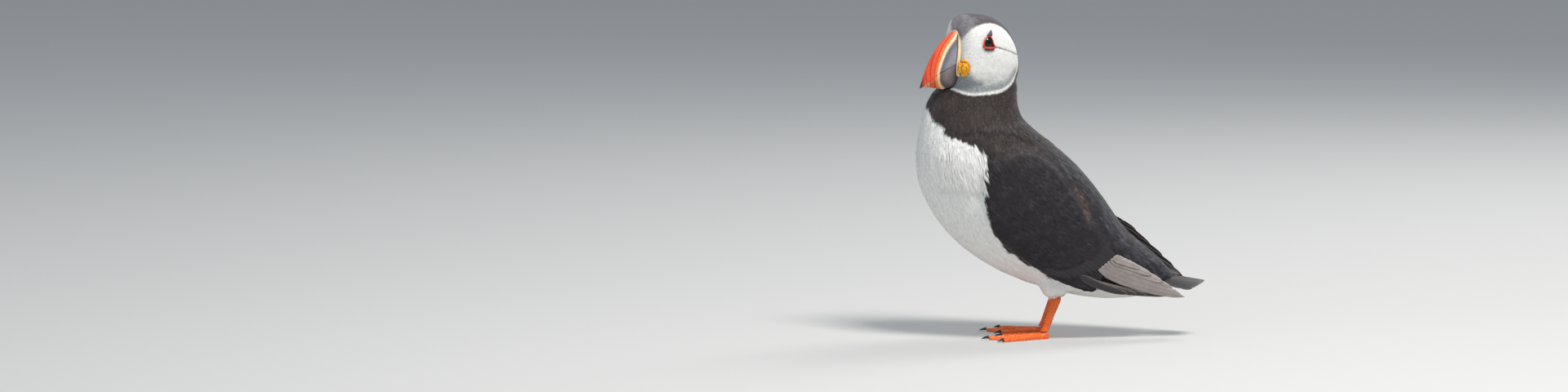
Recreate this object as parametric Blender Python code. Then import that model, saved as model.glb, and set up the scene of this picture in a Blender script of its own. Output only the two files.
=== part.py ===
"""Atlantic puffin, adult in breeding plumage, standing still with its head turned to its left.

The bird faces -Y, its left side is +X and up is +Z. Lengths in the tables are in millimetres
above the floor and along the bird, and MM turns them into metres.
"""

import math

import bmesh
import bpy
import numpy as np
from mathutils import Euler, Vector
from mathutils.bvhtree import BVHTree

MM = 0.001

# Driving sizes
GAP = 0.3                 # clearance kept between neighbouring solids
GROW = 1.4                # a cutter's corners move out by this many clearances
BODY_SIDES = 28           # points round the trunk and neck
HEAD_SIDES = 22           # points round the head
HEAD_YAW = 30.0           # degrees, the bill turned towards the bird's left
HEAD_ROLL = 9.0           # degrees, the left cheek tipped down
HEAD_PIVOT = (0.0, -53.0, 190.0)
EYE_RADIUS = 3.2
EYE_SPOT = (-8.9, 211.0)  # along and above, in the head's own frame
ROSETTE_SPOT = (-24.4, 190.6)
UPPER_PLATE = (1.8, 6.7)      # from the eye, along and above
LOWER_PLATE = (0.9, -5.9)
FOOT_APART = 19.0         # from the midline to each foot
FOOT_HEEL = -11.0
FOOT_TURN = 12.0          # degrees, toes turned out
TOE_LENGTHS = (25.0, 34.0, 33.0)   # inner, middle and outer toe, without the claw
TOE_SPREAD = 26.0
CLAW_LENGTH = 5.5

# Neck and trunk: throat or belly point, nape or back point, half width, squareness
BODY_ROWS = (
    (-66.0, 186.0, -36.0, 193.0, 13.0, 2.0),
    (-81.0, 178.5, -30.5, 184.5, 18.5, 2.0),
    (-90.2, 170.0, -28.8, 174.5, 22.5, 2.0),
    (-95.0, 160.0, -28.8, 164.0, 27.0, 2.0),
    (-98.6, 148.0, -26.0, 154.5, 32.0, 2.05),
    (-100.8, 134.0, -17.0, 145.5, 37.5, 2.1),
    (-101.3, 120.0, -5.5, 136.5, 41.5, 2.15),
    (-99.2, 106.0, 5.5, 127.0, 44.0, 2.2),
    (-92.8, 91.5, 15.0, 118.0, 45.0, 2.2),
    (-83.4, 77.0, 24.0, 107.5, 45.0, 2.2),
    (-69.5, 62.5, 32.5, 96.0, 43.5, 2.2),
    (-50.0, 49.0, 41.0, 83.5, 40.5, 2.2),
    (-25.0, 37.5, 49.5, 73.0, 35.5, 2.15),
    (5.0, 29.0, 59.5, 64.5, 28.5, 2.1),
    (32.0, 25.5, 69.5, 56.5, 21.0, 2.1),
    (55.0, 27.0, 77.0, 48.0, 13.5, 2.0),
    (70.0, 31.5, 82.0, 41.0, 7.5, 2.0),
)
NECK_RINGS = 7            # of the body's rings, down to the base of the neck

# Head: distance along, crown, throat, half width, height of the widest level, squareness
HEAD_ROWS = (
    (24.4, 196.0, 180.0, 6.5, 188.0, 2.0),
    (21.5, 206.0, 171.0, 12.5, 189.0, 2.0),
    (15.5, 215.0, 166.5, 17.0, 190.0, 2.05),
    (8.0, 221.5, 166.5, 19.6, 191.0, 2.15),
    (0.0, 225.0, 167.5, 20.6, 192.0, 2.35),
    (-8.0, 226.2, 168.5, 20.4, 195.0, 2.6),
    (-15.0, 226.2, 169.5, 19.4, 198.0, 3.05),
    (-20.0, 225.2, 171.0, 18.0, 200.5, 3.3),
    (-23.6, 221.8, 173.0, 15.8, 202.0, 3.0),
    (-25.8, 216.2, 176.0, 11.8, 201.0, 2.4),
)

# Bill: distance along, ridge, gape line, lower edge, half width
BILL_ROWS = (
    (-22.0, 213.4, 194.2, 175.2, 7.8),
    (-27.0, 214.8, 192.6, 174.4, 8.3),
    (-29.5, 213.5, 191.4, 173.9, 7.9),
    (-33.0, 210.4, 189.4, 173.7, 7.1),
    (-38.1, 204.9, 186.2, 174.3, 5.7),
    (-43.0, 197.8, 182.3, 175.1, 4.3),
    (-46.7, 189.4, 178.6, 175.2, 3.0),
    (-49.3, 180.9, 176.2, 174.8, 1.6),
    (-50.6, 175.4, 174.5, 173.6, 0.7),
)

# Bill sections: share of the half width, share of the way from the gape to the edge
UPPER_SECTION = ((0.96, 0.0), (1.0, 0.12), (0.92, 0.35), (0.72, 0.6), (0.48, 0.8), (0.27, 0.94))
LOWER_SECTION = ((0.96, 0.0), (0.95, 0.18), (0.80, 0.48), (0.54, 0.76), (0.26, 0.94))

# Cere at the root of the upper bill: distance along, share of the bill's width, of its height
CERE_ROWS = (
    (-24.4, 1.00, 0.98),
    (-25.4, 1.10, 1.04),
    (-26.6, 1.12, 1.05),
    (-27.3, 1.04, 1.01),
)

# Folded left wing: lower edge, upper edge, side reach where it clears the body, thickness
WING_ROWS = (
    (-55.0, 117.0, -49.0, 125.0, 0.0, 3.0),
    (-54.5, 98.0, -31.0, 134.0, 0.0, 7.0),
    (-50.5, 79.0, -11.0, 127.0, 0.0, 8.0),
    (-39.0, 65.0, 1.5, 114.0, 0.0, 8.0),
    (-20.0, 51.0, 13.0, 96.0, 0.0, 7.0),
    (2.0, 38.5, 25.5, 76.0, 32.0, 6.0),
    (22.0, 32.5, 38.0, 59.0, 28.0, 5.0),
    (44.0, 30.5, 52.0, 50.5, 23.5, 4.0),
    (64.0, 28.8, 68.0, 41.0, 18.5, 3.0),
    (80.0, 27.5, 81.5, 32.5, 14.5, 2.2),
    (86.5, 27.0, 87.0, 28.6, 13.0, 1.4),
)
WING_SPLIT = 6            # row where the covert-clad wing meets the primaries
FAR_WING_LIFT = 24.0      # the right wing lies higher over the rump
FAR_WING_REACH = 3.5      # and its tip a little further back
WING_PROUD = 3.0          # how far the closed wing stands out from the flank
EDGE_PROUD = 1.4          # and its upper and lower edges

# Tail: distance along, height at the middle, half width, droop of the outer feathers, thickness
TAIL_ROWS = (
    (66.0, 44.0, 7.0, 0.8, 5.0),
    (76.0, 43.0, 10.5, 1.6, 4.4),
    (86.0, 42.0, 13.5, 2.6, 3.6),
    (95.0, 39.3, 15.0, 3.6, 2.4),
    (99.5, 38.2, 12.5, 3.6, 1.8),
    (101.5, 37.6, 7.0, 2.2, 1.4),
)

COLOURS = {
    "black": ((0.018, 0.016, 0.018), 0.6),
    "brown_black": ((0.035, 0.028, 0.030), 0.65),
    "white": ((0.80, 0.80, 0.78), 0.75),
    "grey_brown": ((0.24, 0.21, 0.22), 0.6),
    "orange_red": ((0.83, 0.12, 0.035), 0.4),
    "cream": ((0.88, 0.68, 0.42), 0.45),
    "yellow_orange": ((0.90, 0.42, 0.02), 0.5),
    "eye_black": ((0.008, 0.006, 0.006), 0.1),
    "ring_red": ((0.60, 0.06, 0.04), 0.5),
    "slate": ((0.14, 0.15, 0.19), 0.5),
    "leg_orange": ((0.88, 0.20, 0.035), 0.45),
    "horn": ((0.03, 0.025, 0.025), 0.35),
}


def clear_scene():
    """Empties the file of objects."""
    for thing in list(bpy.data.objects):
        bpy.data.objects.remove(thing, do_unlink=True)


def material(name):
    """One Principled material per colour name."""
    found = bpy.data.materials.get(name)
    if found:
        return found
    colour, roughness = COLOURS[name]
    made = bpy.data.materials.new(name)
    made.use_nodes = True
    shader = made.node_tree.nodes["Principled BSDF"]
    shader.inputs["Base Color"].default_value = (*colour, 1.0)
    shader.inputs["Roughness"].default_value = roughness
    shader.inputs["Metallic"].default_value = 0.0
    made.diffuse_color = (*colour, 1.0)
    return made


def smooth_rows(rows, count):
    """Resamples a table of rows with a Catmull-Rom curve through every row."""
    table = np.array(rows, dtype=float)
    padded = np.vstack([2 * table[0] - table[1], table, 2 * table[-1] - table[-2]])
    made = []
    for place in np.linspace(0.0, len(table) - 1, count):
        start = min(int(place), len(table) - 2)
        t = place - start
        a, b, c, d = padded[start:start + 4]
        made.append(0.5 * (2 * b + (c - a) * t + (2 * a - 5 * b + 4 * c - d) * t ** 2
                           + (3 * b - a - 3 * c + d) * t ** 3))
    return np.array(made)


def signed_power(value, power):
    """Raises the size of a value to a power and keeps its sign."""
    return math.copysign(abs(value) ** power, value)


def add_object(name, bm, colour, parent):
    """Wraps a bmesh, drawn in millimetres, as one smooth object under its parent."""
    bmesh.ops.recalc_face_normals(bm, faces=bm.faces)
    if bm.calc_volume(signed=True) < 0:
        bmesh.ops.reverse_faces(bm, faces=bm.faces)
    bmesh.ops.scale(bm, vec=(MM, MM, MM), verts=bm.verts)
    mesh = bpy.data.meshes.new(name)
    bm.to_mesh(mesh)
    bm.free()
    mesh.materials.append(material(colour))
    mesh.shade_smooth()
    mesh.set_sharp_from_angle(angle=math.radians(50))
    made = bpy.data.objects.new(name, mesh)
    bpy.context.collection.objects.link(made)
    made.parent = parent
    return made


def loft(rings, joined=False):
    """Bridges a row of closed rings and caps both ends, or joins the last to the first."""
    bm = bmesh.new()
    loops = []
    for ring in rings:
        corners = [bm.verts.new(point) for point in ring]
        loops.append([bm.edges.new(pair) for pair in zip(corners, corners[1:] + corners[:1])])
    for near, far in zip(loops, loops[1:]):
        bmesh.ops.bridge_loops(bm, edges=near + far)
    if joined:
        bmesh.ops.bridge_loops(bm, edges=loops[-1] + loops[0])
        return bm
    for end in (loops[0], loops[-1]):
        bmesh.ops.contextual_create(bm, geom=end)
    return bm


def body_ring(row, shift=0.0):
    """One ring of the neck or trunk, between its belly point and its back point."""
    belly_y, belly_z, back_y, back_z, half_width, squareness = row
    belly = Vector((0.0, belly_y, belly_z))
    back = Vector((0.0, back_y, back_z))
    middle = (belly + back) / 2
    half_height = (back - belly) / 2
    ahead = Vector((0.0, -half_height.z, half_height.y)).normalized()
    ring = []
    for step in range(BODY_SIDES):
        turn = 2 * math.pi * step / BODY_SIDES
        side = signed_power(math.sin(turn), 2 / squareness) * half_width
        rise = signed_power(math.cos(turn), 2 / squareness)
        ring.append(middle + half_height * rise + Vector((side, 0.0, 0.0)) + ahead * shift)
    return ring


def body_solids(root):
    """The neck and the trunk, parted by a thin flat cut."""
    rows = smooth_rows(BODY_ROWS, 3 * (len(BODY_ROWS) - 1) // 2 + 1)
    neck_rows = rows[:NECK_RINGS]
    trunk_rows = rows[NECK_RINGS - 1:]
    neck_rings = [body_ring(row) for row in neck_rows[:-1]] + [body_ring(neck_rows[-1], GAP / 2)]
    trunk_rings = [body_ring(trunk_rows[0], -GAP / 2)] + [body_ring(row) for row in trunk_rows[1:]]
    neck = add_object("neck", loft(neck_rings), "brown_black", root)
    trunk = add_object("trunk", loft(trunk_rings), "white", root)
    return neck, trunk


def head_point(x, along, height):
    """Turns a place given along the head and above the floor into the head's own frame."""
    return Vector((x, along, height - HEAD_PIVOT[2]))


def head_frame(root):
    """An empty that carries the head and bill, turned to the left and tipped a little."""
    frame = bpy.data.objects.new("head_frame", None)
    bpy.context.collection.objects.link(frame)
    frame.parent = root
    frame.location = Vector(HEAD_PIVOT) * MM
    frame.rotation_euler = Euler((0.0, math.radians(HEAD_ROLL), math.radians(HEAD_YAW)))
    return frame


def head_solid(frame):
    """The rounded head without its bill and eyes."""
    rings = []
    for along, crown, throat, half_width, widest, squareness in smooth_rows(HEAD_ROWS, 16):
        ring = []
        for step in range(HEAD_SIDES):
            turn = 2 * math.pi * step / HEAD_SIDES
            rise = signed_power(math.cos(turn), 2 / squareness)
            reach = crown - widest if rise > 0 else widest - throat
            side = signed_power(math.sin(turn), 2 / squareness) * half_width
            ring.append(head_point(side, along, widest + rise * reach))
        rings.append(ring)
    return add_object("head", loft(rings), "white", frame)


def bill_at(along):
    """Ridge, gape, lower edge and half width of the bill at a distance along the head."""
    table = smooth_rows(BILL_ROWS, 65)[::-1]
    return [float(np.interp(along, table[:, 0], table[:, column])) for column in range(1, 5)]


def bill_ring(section, along, start, end, half_width):
    """One ring of a mandible: a flat side at the gape, rounded to the edge away from it."""
    left = [head_point(share * half_width, along, start + (end - start) * way)
            for share, way in section]
    right = [Vector((-point.x, point.y, point.z)) for point in reversed(left)]
    return left + [head_point(0.0, along, end)] + right


def bill_solids(frame):
    """Both mandibles, and the raised cere at the root of the upper one."""
    upper_rings = []
    for along in np.linspace(-27.6, -50.5, 13):
        ridge, gape, _, half_width = bill_at(along)
        upper_rings.append(bill_ring(UPPER_SECTION, along, gape + GAP / 2, ridge, half_width))
    lower_rings = []
    for along in np.linspace(-22.0, -49.0, 12):
        _, gape, edge, half_width = bill_at(along)
        lower_rings.append(bill_ring(LOWER_SECTION, along, gape - GAP / 2, edge, half_width))
    cere_rings = []
    for along, widen, lift in CERE_ROWS:
        ridge, gape, _, half_width = bill_at(along)
        top = gape + (ridge - gape) * lift
        cere_rings.append(bill_ring(UPPER_SECTION, along, gape + GAP / 2, top, half_width * widen))
    upper = add_object("bill_upper", loft(upper_rings), "orange_red", frame)
    lower = add_object("bill_lower", loft(lower_rings), "orange_red", frame)
    cere = add_object("bill_cere", loft(cere_rings), "cream", frame)
    return upper, lower, cere


def ellipsoid(half_sizes, segments=14, rings=9):
    """A ball stretched to three half sizes about the origin."""
    bm = bmesh.new()
    bmesh.ops.create_uvsphere(bm, u_segments=segments, v_segments=rings, radius=1.0)
    bmesh.ops.scale(bm, vec=half_sizes, verts=bm.verts)
    return bm


def torus(radius, thickness):
    """A ring about the X axis."""
    rings = []
    for step in range(14):
        outward = Vector((0.0, math.cos(math.pi * step / 7), math.sin(math.pi * step / 7)))
        rings.append([outward * (radius + thickness * math.cos(math.pi * turn / 3))
                      + Vector((thickness * math.sin(math.pi * turn / 3), 0.0, 0.0))
                      for turn in range(6)])
    return loft(rings, joined=True)


def surface_of(thing):
    """A ray-casting tree of an object's own mesh."""
    bm = bmesh.new()
    bm.from_mesh(thing.data)
    tree = BVHTree.FromBMesh(bm)
    bm.free()
    return tree


def side_point(tree, along, height):
    """The outermost point and normal of a surface on its left side, or None past its edge."""
    hit = tree.ray_cast(Vector((0.3, along * MM, height * MM)), Vector((-1.0, 0.0, 0.0)))
    if hit[0] is None:
        return None
    return hit[0] / MM, hit[1]


def seat(bm, side, spot, facing):
    """Turns a shape from the X axis to a facing and sets it on its spot, on either side."""
    turned = Vector((1.0, 0.0, 0.0)).rotation_difference(facing).to_matrix()
    bmesh.ops.rotate(bm, cent=(0.0, 0.0, 0.0), matrix=turned, verts=bm.verts)
    bmesh.ops.translate(bm, vec=spot, verts=bm.verts)
    bmesh.ops.scale(bm, vec=(side, 1.0, 1.0), verts=bm.verts)
    return bm


def face_details(frame, head):
    """Eyes, their red rings, the horny plates round them and the gape rosettes, on both sides."""
    tree = surface_of(head)
    along, height = EYE_SPOT
    eye_spot, eye_facing = side_point(tree, along, height - HEAD_PIVOT[2])
    rose_spot, rose_facing = side_point(tree, ROSETTE_SPOT[0], ROSETTE_SPOT[1] - HEAD_PIVOT[2])
    upper_spot, upper_facing = side_point(
        tree, along + UPPER_PLATE[0], height + UPPER_PLATE[1] - HEAD_PIVOT[2])
    lower_spot, lower_facing = side_point(
        tree, along + LOWER_PLATE[0], height + LOWER_PLATE[1] - HEAD_PIVOT[2])
    made = []
    for word, side in (("left", 1.0), ("right", -1.0)):
        eye = seat(ellipsoid((EYE_RADIUS,) * 3, 12, 8), side, eye_spot - eye_facing * 1.7, eye_facing)
        ring = seat(torus(EYE_RADIUS + 0.55, 0.65), side, eye_spot - eye_facing * 0.1, eye_facing)
        upper = seat(ellipsoid((1.1, 1.7, 2.1), 8, 5), side, upper_spot, upper_facing)
        lower = seat(ellipsoid((1.0, 3.3, 1.0), 8, 5), side, lower_spot, lower_facing)
        rose = seat(ellipsoid((2.3, 3.8, 4.8), 10, 7), side, rose_spot, rose_facing)
        made.append((add_object("eye_" + word, eye, "eye_black", frame),
                     add_object("eye_ring_" + word, ring, "ring_red", frame),
                     add_object("eye_plate_upper_" + word, upper, "slate", frame),
                     add_object("eye_plate_lower_" + word, lower, "slate", frame),
                     add_object("gape_rosette_" + word, rose, "yellow_orange", frame)))
    return made


def far_wing_lift(along):
    """How much higher the right wing lies at a distance along the bird."""
    rise = min(max((along + 20.0) / 60.0, 0.0), 1.0)
    fall = min(max((along - 50.0) / 37.0, 0.0), 1.0)
    return FAR_WING_LIFT * rise * rise * (3 - 2 * rise) * (1 - 0.45 * fall)


def wing_table(tree, side):
    """Wing rows with the side reach of the lower edge, middle and upper edge worked out."""
    table = []
    for low_y, low_z, up_y, up_z, reach, thick in WING_ROWS:
        if side < 0:
            low_z += far_wing_lift(low_y)
            up_z += far_wing_lift(up_y)
            push = FAR_WING_REACH * min(max((up_y - 40.0) / 47.0, 0.0), 1.0)
            low_y += push
            up_y += push
        edges = ((low_y, low_z, EDGE_PROUD),
                 ((low_y + up_y) / 2, (low_z + up_z) / 2, WING_PROUD - thick / 2),
                 (up_y, up_z, EDGE_PROUD))
        reaches = []
        for along, height, proud in edges:
            found = side_point(tree, along, height)
            reaches.append(max(found[0].x + proud if found else 0.0, reach))
        table.append((low_y, low_z, up_y, up_z, *reaches, thick))
    return table


def wing_ring(row, side):
    """One lens-shaped ring across the folded wing, bent round the body."""
    low_y, low_z, up_y, up_z, low_x, middle_x, up_x, thick = row
    low = Vector((low_x, low_y, low_z))
    up = Vector((up_x, up_y, up_z))
    bulge = middle_x - (low_x + up_x) / 2
    ring = []
    for step in range(16):
        turn = 2 * math.pi * step / 16
        across = signed_power(math.cos(turn), 0.8)
        outward = signed_power(math.sin(turn), 0.8)
        point = low.lerp(up, (across + 1) / 2) + Vector((bulge * (1 - across ** 2), 0.0, 0.0))
        tangent = (up - low) / 2 - Vector((2 * bulge * across, 0.0, 0.0))
        normal = Vector((1.0, 0.0, 0.0))
        normal = (normal - tangent * normal.dot(tangent) / tangent.length_squared).normalized()
        point += normal * outward * thick / 2
        ring.append(Vector((point.x * side, point.y, point.z)))
    return ring


def wing_solids(root, trunk):
    """Both folded wings, each with its long primaries as a solid of its own."""
    tree = surface_of(trunk)
    made = []
    for word, side in (("left", 1.0), ("right", -1.0)):
        rows = smooth_rows(wing_table(tree, side), 2 * (len(WING_ROWS) - 1) + 1)
        split = 2 * WING_SPLIT
        rings = [wing_ring(row, side) for row in rows]
        step = (rows[split + 1] - rows[split - 1]) / 2
        span = math.hypot(step[0], step[1])
        arm_end = wing_ring(rows[split] - step * (GAP / span), side)
        flight_start = wing_ring(rows[split] + step * (GAP / span), side)
        made.append(add_object("wing_" + word, loft(rings[:split] + [arm_end]), "black", root))
        made.append(add_object("primaries_" + word, loft([flight_start] + rings[split + 1:]),
                               "grey_brown", root))
    return made


def tail_solid(root):
    """The short closed tail, arched across its width."""
    rings = []
    for along, height, half_width, droop, thick in smooth_rows(TAIL_ROWS, 9):
        ring = []
        for step in range(16):
            turn = 2 * math.pi * step / 16
            across = signed_power(math.cos(turn), 0.8)
            upward = signed_power(math.sin(turn), 0.8)
            ring.append(Vector((across * half_width, along,
                                height - droop * across ** 2 + upward * thick / 2)))
        rings.append(ring)
    return add_object("tail", loft(rings), "black", root)


# Leg, left side: side, along, height, half width, half depth
TARSUS_ROWS = (
    (0.0, -11.2, 4.85, 2.6, 3.0),
    (0.0, -9.6, 8.0, 2.2, 2.7),
    (-0.3, -6.8, 16.0, 2.2, 2.8),
    (-0.7, -3.9, 23.5, 2.7, 3.2),
    (-1.0, -2.6, 28.0, 3.1, 3.5),
    (-1.2, -3.4, 33.0, 2.4, 2.8),
)


def foot_columns():
    """Start, end, root height and end height of each column across a left foot."""
    columns = []
    for index, length in enumerate(TOE_LENGTHS):
        turn = math.radians(TOE_SPREAD * (index - 1))
        heading = Vector((math.sin(turn), -math.cos(turn), 0.0))
        beside = Vector((heading.y, -heading.x, 0.0)) * -1
        root = Vector((3.6 * (index - 1), -4.0 - 1.6 * (index == 1), 0.0))
        end = root + heading * length
        left, middle, right = ((root + beside * 1.75 * side, end + beside * 1.5 * side)
                               for side in (-1, 0, 1))
        if columns:
            start_from, end_from = columns[-1][0], columns[-1][1]
            for share in (0.33, 0.67):
                web_root = start_from.lerp(left[0], share)
                web_end = end_from.lerp(left[1], share)
                dip = 0.16 * math.sin(math.pi * share)
                columns.append((web_root, web_end.lerp(web_root, dip), 1.6, 0.9))
        columns.append((*left, 2.6, 1.3))
        columns.append((*middle, 4.2, 2.6))
        columns.append((*right, 2.6, 1.3))
    return columns


def foot_solid(root, word, side):
    """One webbed foot with a flat sole: three toes, the webs between them and the heel pad."""
    columns = foot_columns()
    rows = [[(Vector((start.x * 0.5, 3.0, 0.0)), high * 0.35 + 2.0) for start, _, high, _ in columns],
            [(Vector((start.x * 0.85, 0.5, 0.0)), high * 0.6 + 2.0) for start, _, high, _ in columns]]
    for way in np.linspace(0.0, 1.0, 5):
        rows.append([(start.lerp(end, way), high + (low - high) * way)
                     for start, end, high, low in columns])
    bm = bmesh.new()
    grid = [[bm.verts.new(Vector((side * place.x, place.y, 0.0))) for place, _ in row] for row in rows]
    for back, front in zip(grid, grid[1:]):
        for step in range(len(columns) - 1):
            bm.faces.new((back[step], back[step + 1], front[step + 1], front[step]))
    heights = {vert: height for line, row in zip(grid, rows) for vert, (_, height) in zip(line, row)}
    flat = [(vert.co.xy.copy(), height) for vert, height in heights.items()]
    raised = bmesh.ops.extrude_face_region(bm, geom=list(bm.faces))
    for vert in (thing for thing in raised["geom"] if isinstance(thing, bmesh.types.BMVert)):
        vert.co.z = min(flat, key=lambda pair: (pair[0] - vert.co.xy).length)[1]
    foot = add_object("foot_" + word, bm, "leg_orange", root)
    foot.location = Vector((side * FOOT_APART, FOOT_HEEL, 0.0)) * MM
    foot.rotation_euler = (0.0, 0.0, side * math.radians(FOOT_TURN))
    return foot


def claw_solids(foot, word, side):
    """A short curved claw at the end of each toe."""
    made = []
    names = ("inner", "middle", "outer")
    for index, length in enumerate(TOE_LENGTHS):
        turn = math.radians(TOE_SPREAD * (index - 1))
        heading = Vector((math.sin(turn), -math.cos(turn), 0.0))
        beside = Vector((-heading.y, heading.x, 0.0))
        end = Vector((3.6 * (index - 1), -4.0 - 1.6 * (index == 1), 0.0)) + heading * (length + GAP)
        rings = []
        for way in np.linspace(0.0, 1.0, 5):
            radius = 1.2 * (1 - way) ** 0.7 + 0.12
            centre = end + heading * CLAW_LENGTH * way + Vector((0.0, 0.0, 2.0 - 1.3 * way ** 1.8))
            ring = [centre + beside * radius * 0.8 * math.cos(math.pi * step / 3)
                    + Vector((0.0, 0.0, radius * math.sin(math.pi * step / 3))) for step in range(6)]
            rings.append([Vector((side * point.x, point.y, point.z)) for point in ring])
        made.append(add_object("claw_" + names[index] + "_" + word, loft(rings), "horn", foot))
    return made


def leg_solids(root, word, side):
    """The bare tarsus and the feathered thigh above it."""
    rings = []
    for out, along, height, half_width, half_depth in smooth_rows(TARSUS_ROWS, 9):
        centre = Vector((side * (FOOT_APART + out), along, height))
        rings.append([centre + Vector((half_width * math.cos(math.pi * step / 6),
                                       half_depth * math.sin(math.pi * step / 6), 0.0))
                      for step in range(12)])
    tarsus = add_object("tarsus_" + word, loft(rings), "leg_orange", root)
    shape = ellipsoid((9.0, 12.0, 13.0), 16, 10)
    bmesh.ops.translate(shape, vec=(side * (FOOT_APART - 1.0), -4.0, 39.5), verts=shape.verts)
    thigh = add_object("thigh_" + word, shape, "white", root)
    return tarsus, thigh


def carve(target, tools, solver="EXACT"):
    """Cuts each tool, grown by the clearance, out of the target.

    The small face pieces meet their neighbours nearly edge on, where only MANIFOLD cuts cleanly.
    """
    for tool in tools:
        bm = bmesh.new()
        bm.from_mesh(tool.data)
        bm.normal_update()
        grown = [(vert, vert.normal * GAP * GROW * MM) for vert in bm.verts]
        for vert, offset in grown:
            vert.co += offset
        mesh = bpy.data.meshes.new("cutter")
        bm.to_mesh(mesh)
        bm.free()
        cutter = bpy.data.objects.new("cutter", mesh)
        bpy.context.collection.objects.link(cutter)
        cutter.matrix_world = tool.matrix_world
        cutter.hide_render = True
        cutter.display_type = "WIRE"
        cut = target.modifiers.new("clearance", "BOOLEAN")
        cut.operation = "DIFFERENCE"
        cut.solver = solver
        cut.object = cutter
        bpy.context.view_layer.update()
        shape = bpy.data.meshes.new_from_object(
            target.evaluated_get(bpy.context.evaluated_depsgraph_get()))
        target.modifiers.clear()
        target.data = shape
        target.data.name = target.name
        bpy.data.objects.remove(cutter, do_unlink=True)


def centre_on_floor(root):
    """Moves the bird so that the origin is under the middle of its box, at floor level."""
    bpy.context.view_layer.update()
    places = [thing.matrix_world @ Vector(corner) for thing in bpy.data.objects
              if thing.type == "MESH" for corner in thing.bound_box]
    low = [min(place[axis] for place in places) for axis in range(3)]
    high = [max(place[axis] for place in places) for axis in range(3)]
    root.location = (-(low[0] + high[0]) / 2, -(low[1] + high[1]) / 2, -low[2])


def main():
    clear_scene()
    root = bpy.data.objects.new("puffin", None)
    bpy.context.collection.objects.link(root)
    neck, trunk = body_solids(root)
    frame = head_frame(root)
    head = head_solid(frame)
    upper, lower, cere = bill_solids(frame)
    wings = wing_solids(root, trunk)
    tail = tail_solid(root)
    bpy.context.view_layer.update()
    details = [part for parts in face_details(frame, head) for part in parts]
    bpy.context.view_layer.update()
    carve(neck, [head, lower, cere], "MANIFOLD")
    carve(head, [lower, cere] + details, "MANIFOLD")
    carve(tail, [trunk])
    carve(trunk, wings)
    for word, side in (("left", 1.0), ("right", -1.0)):
        foot = foot_solid(root, word, side)
        claw_solids(foot, word, side)
        tarsus, thigh = leg_solids(root, word, side)
        bpy.context.view_layer.update()
        carve(thigh, [tarsus, trunk])
    centre_on_floor(root)


main()
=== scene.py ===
import math

import bmesh
import bpy
import numpy as np
from mathutils import Euler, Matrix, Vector
from mathutils.bvhtree import BVHTree
from mathutils.kdtree import KDTree


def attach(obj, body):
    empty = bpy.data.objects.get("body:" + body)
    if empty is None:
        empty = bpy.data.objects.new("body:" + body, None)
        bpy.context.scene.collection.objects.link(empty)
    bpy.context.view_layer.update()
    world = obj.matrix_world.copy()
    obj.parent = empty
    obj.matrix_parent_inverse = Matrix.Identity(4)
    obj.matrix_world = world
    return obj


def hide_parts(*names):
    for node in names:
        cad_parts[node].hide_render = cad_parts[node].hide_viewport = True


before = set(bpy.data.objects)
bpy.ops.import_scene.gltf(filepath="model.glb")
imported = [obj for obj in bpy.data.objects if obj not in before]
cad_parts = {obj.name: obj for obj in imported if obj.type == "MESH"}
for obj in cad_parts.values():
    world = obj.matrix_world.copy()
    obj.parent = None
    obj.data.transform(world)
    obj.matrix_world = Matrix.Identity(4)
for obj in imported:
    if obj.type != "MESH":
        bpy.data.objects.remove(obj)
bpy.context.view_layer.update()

# A puffin at rest: one skin under overlapping feathers, with bill, eyes and feet of their own.
# Lengths in the tables are in millimetres; the bird faces -Y and its left side is +X.
MM = 0.001
CHANCE = np.random.default_rng(11)

BODY_SHIFT = 0.26                                # the whole bird's place along Y
HEAD_PIVOT = np.array((0.04, -53.0 + BODY_SHIFT, 190.0))
HEAD_TURN = np.array(Euler((0.0, math.radians(9.0), math.radians(30.0))).to_matrix())
SKIN_VOXEL = 1.1
FLOW_SOFTNESS = 5.0                              # how gently the plumage's line bends round the body
SKIN_GROW = 0.45                                 # closes the cuts between the flesh nodes
FLESH = ("trunk", "neck", "head", "wing_left", "wing_right", "thigh_left", "thigh_right")
TRUNK, NECK, HEAD, WING, THIGH = range(5)
SIDES = (("left", 1.0), ("right", -1.0))
FILLING = tuple("%s_%s" % (part, word) for word, _ in SIDES for part in
                ("eye", "eye_plate_upper", "eye_plate_lower"))
REGION_OF = dict(zip(FLESH, (TRUNK, NECK, HEAD, WING, WING, THIGH, THIGH)))
EASING_ROUNDS = 60                               # how much the borders of wing and thigh are eased
COAT_DEPTH = {TRUNK: 1.3, NECK: 1.0, HEAD: 0.5, WING: 1.1, THIGH: 1.2}

# The line the plumage flows along, from the bill over the head and down the body
FLOW_LINE = ((14.0, -78.0, 203.0), (8.0, -66.0, 202.0), (2.0, -55.0, 197.0), (0.0, -49.0, 186.0),
             (0.0, -53.0, 168.0), (0.0, -58.0, 150.0), (0.0, -56.0, 131.0), (0.0, -46.0, 112.0),
             (0.0, -30.0, 94.0), (0.0, -8.0, 76.0), (0.0, 18.0, 58.0), (0.0, 44.0, 46.0),
             (0.0, 72.0, 39.0), (0.0, 102.0, 34.0))
# Where white meets black on the body: along the bird, above
BODY_LINE = ((-110.0, 163.0), (-97.0, 162.5), (-93.9, 162.0), (-90.8, 156.6), (-87.6, 150.8),
             (-83.6, 147.7), (-77.2, 144.4), (-70.8, 141.5), (-62.8, 138.5), (-56.4, 135.5),
             (-52.7, 132.0), (-52.0, 120.0), (-51.0, 95.0), (-49.0, 78.0), (-38.0, 64.0),
             (-28.0, 56.0), (-15.0, 48.0), (2.0, 40.5), (20.0, 36.5), (46.0, 35.0),
             (70.0, 37.0), (85.0, 36.5), (110.0, 30.0))
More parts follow.
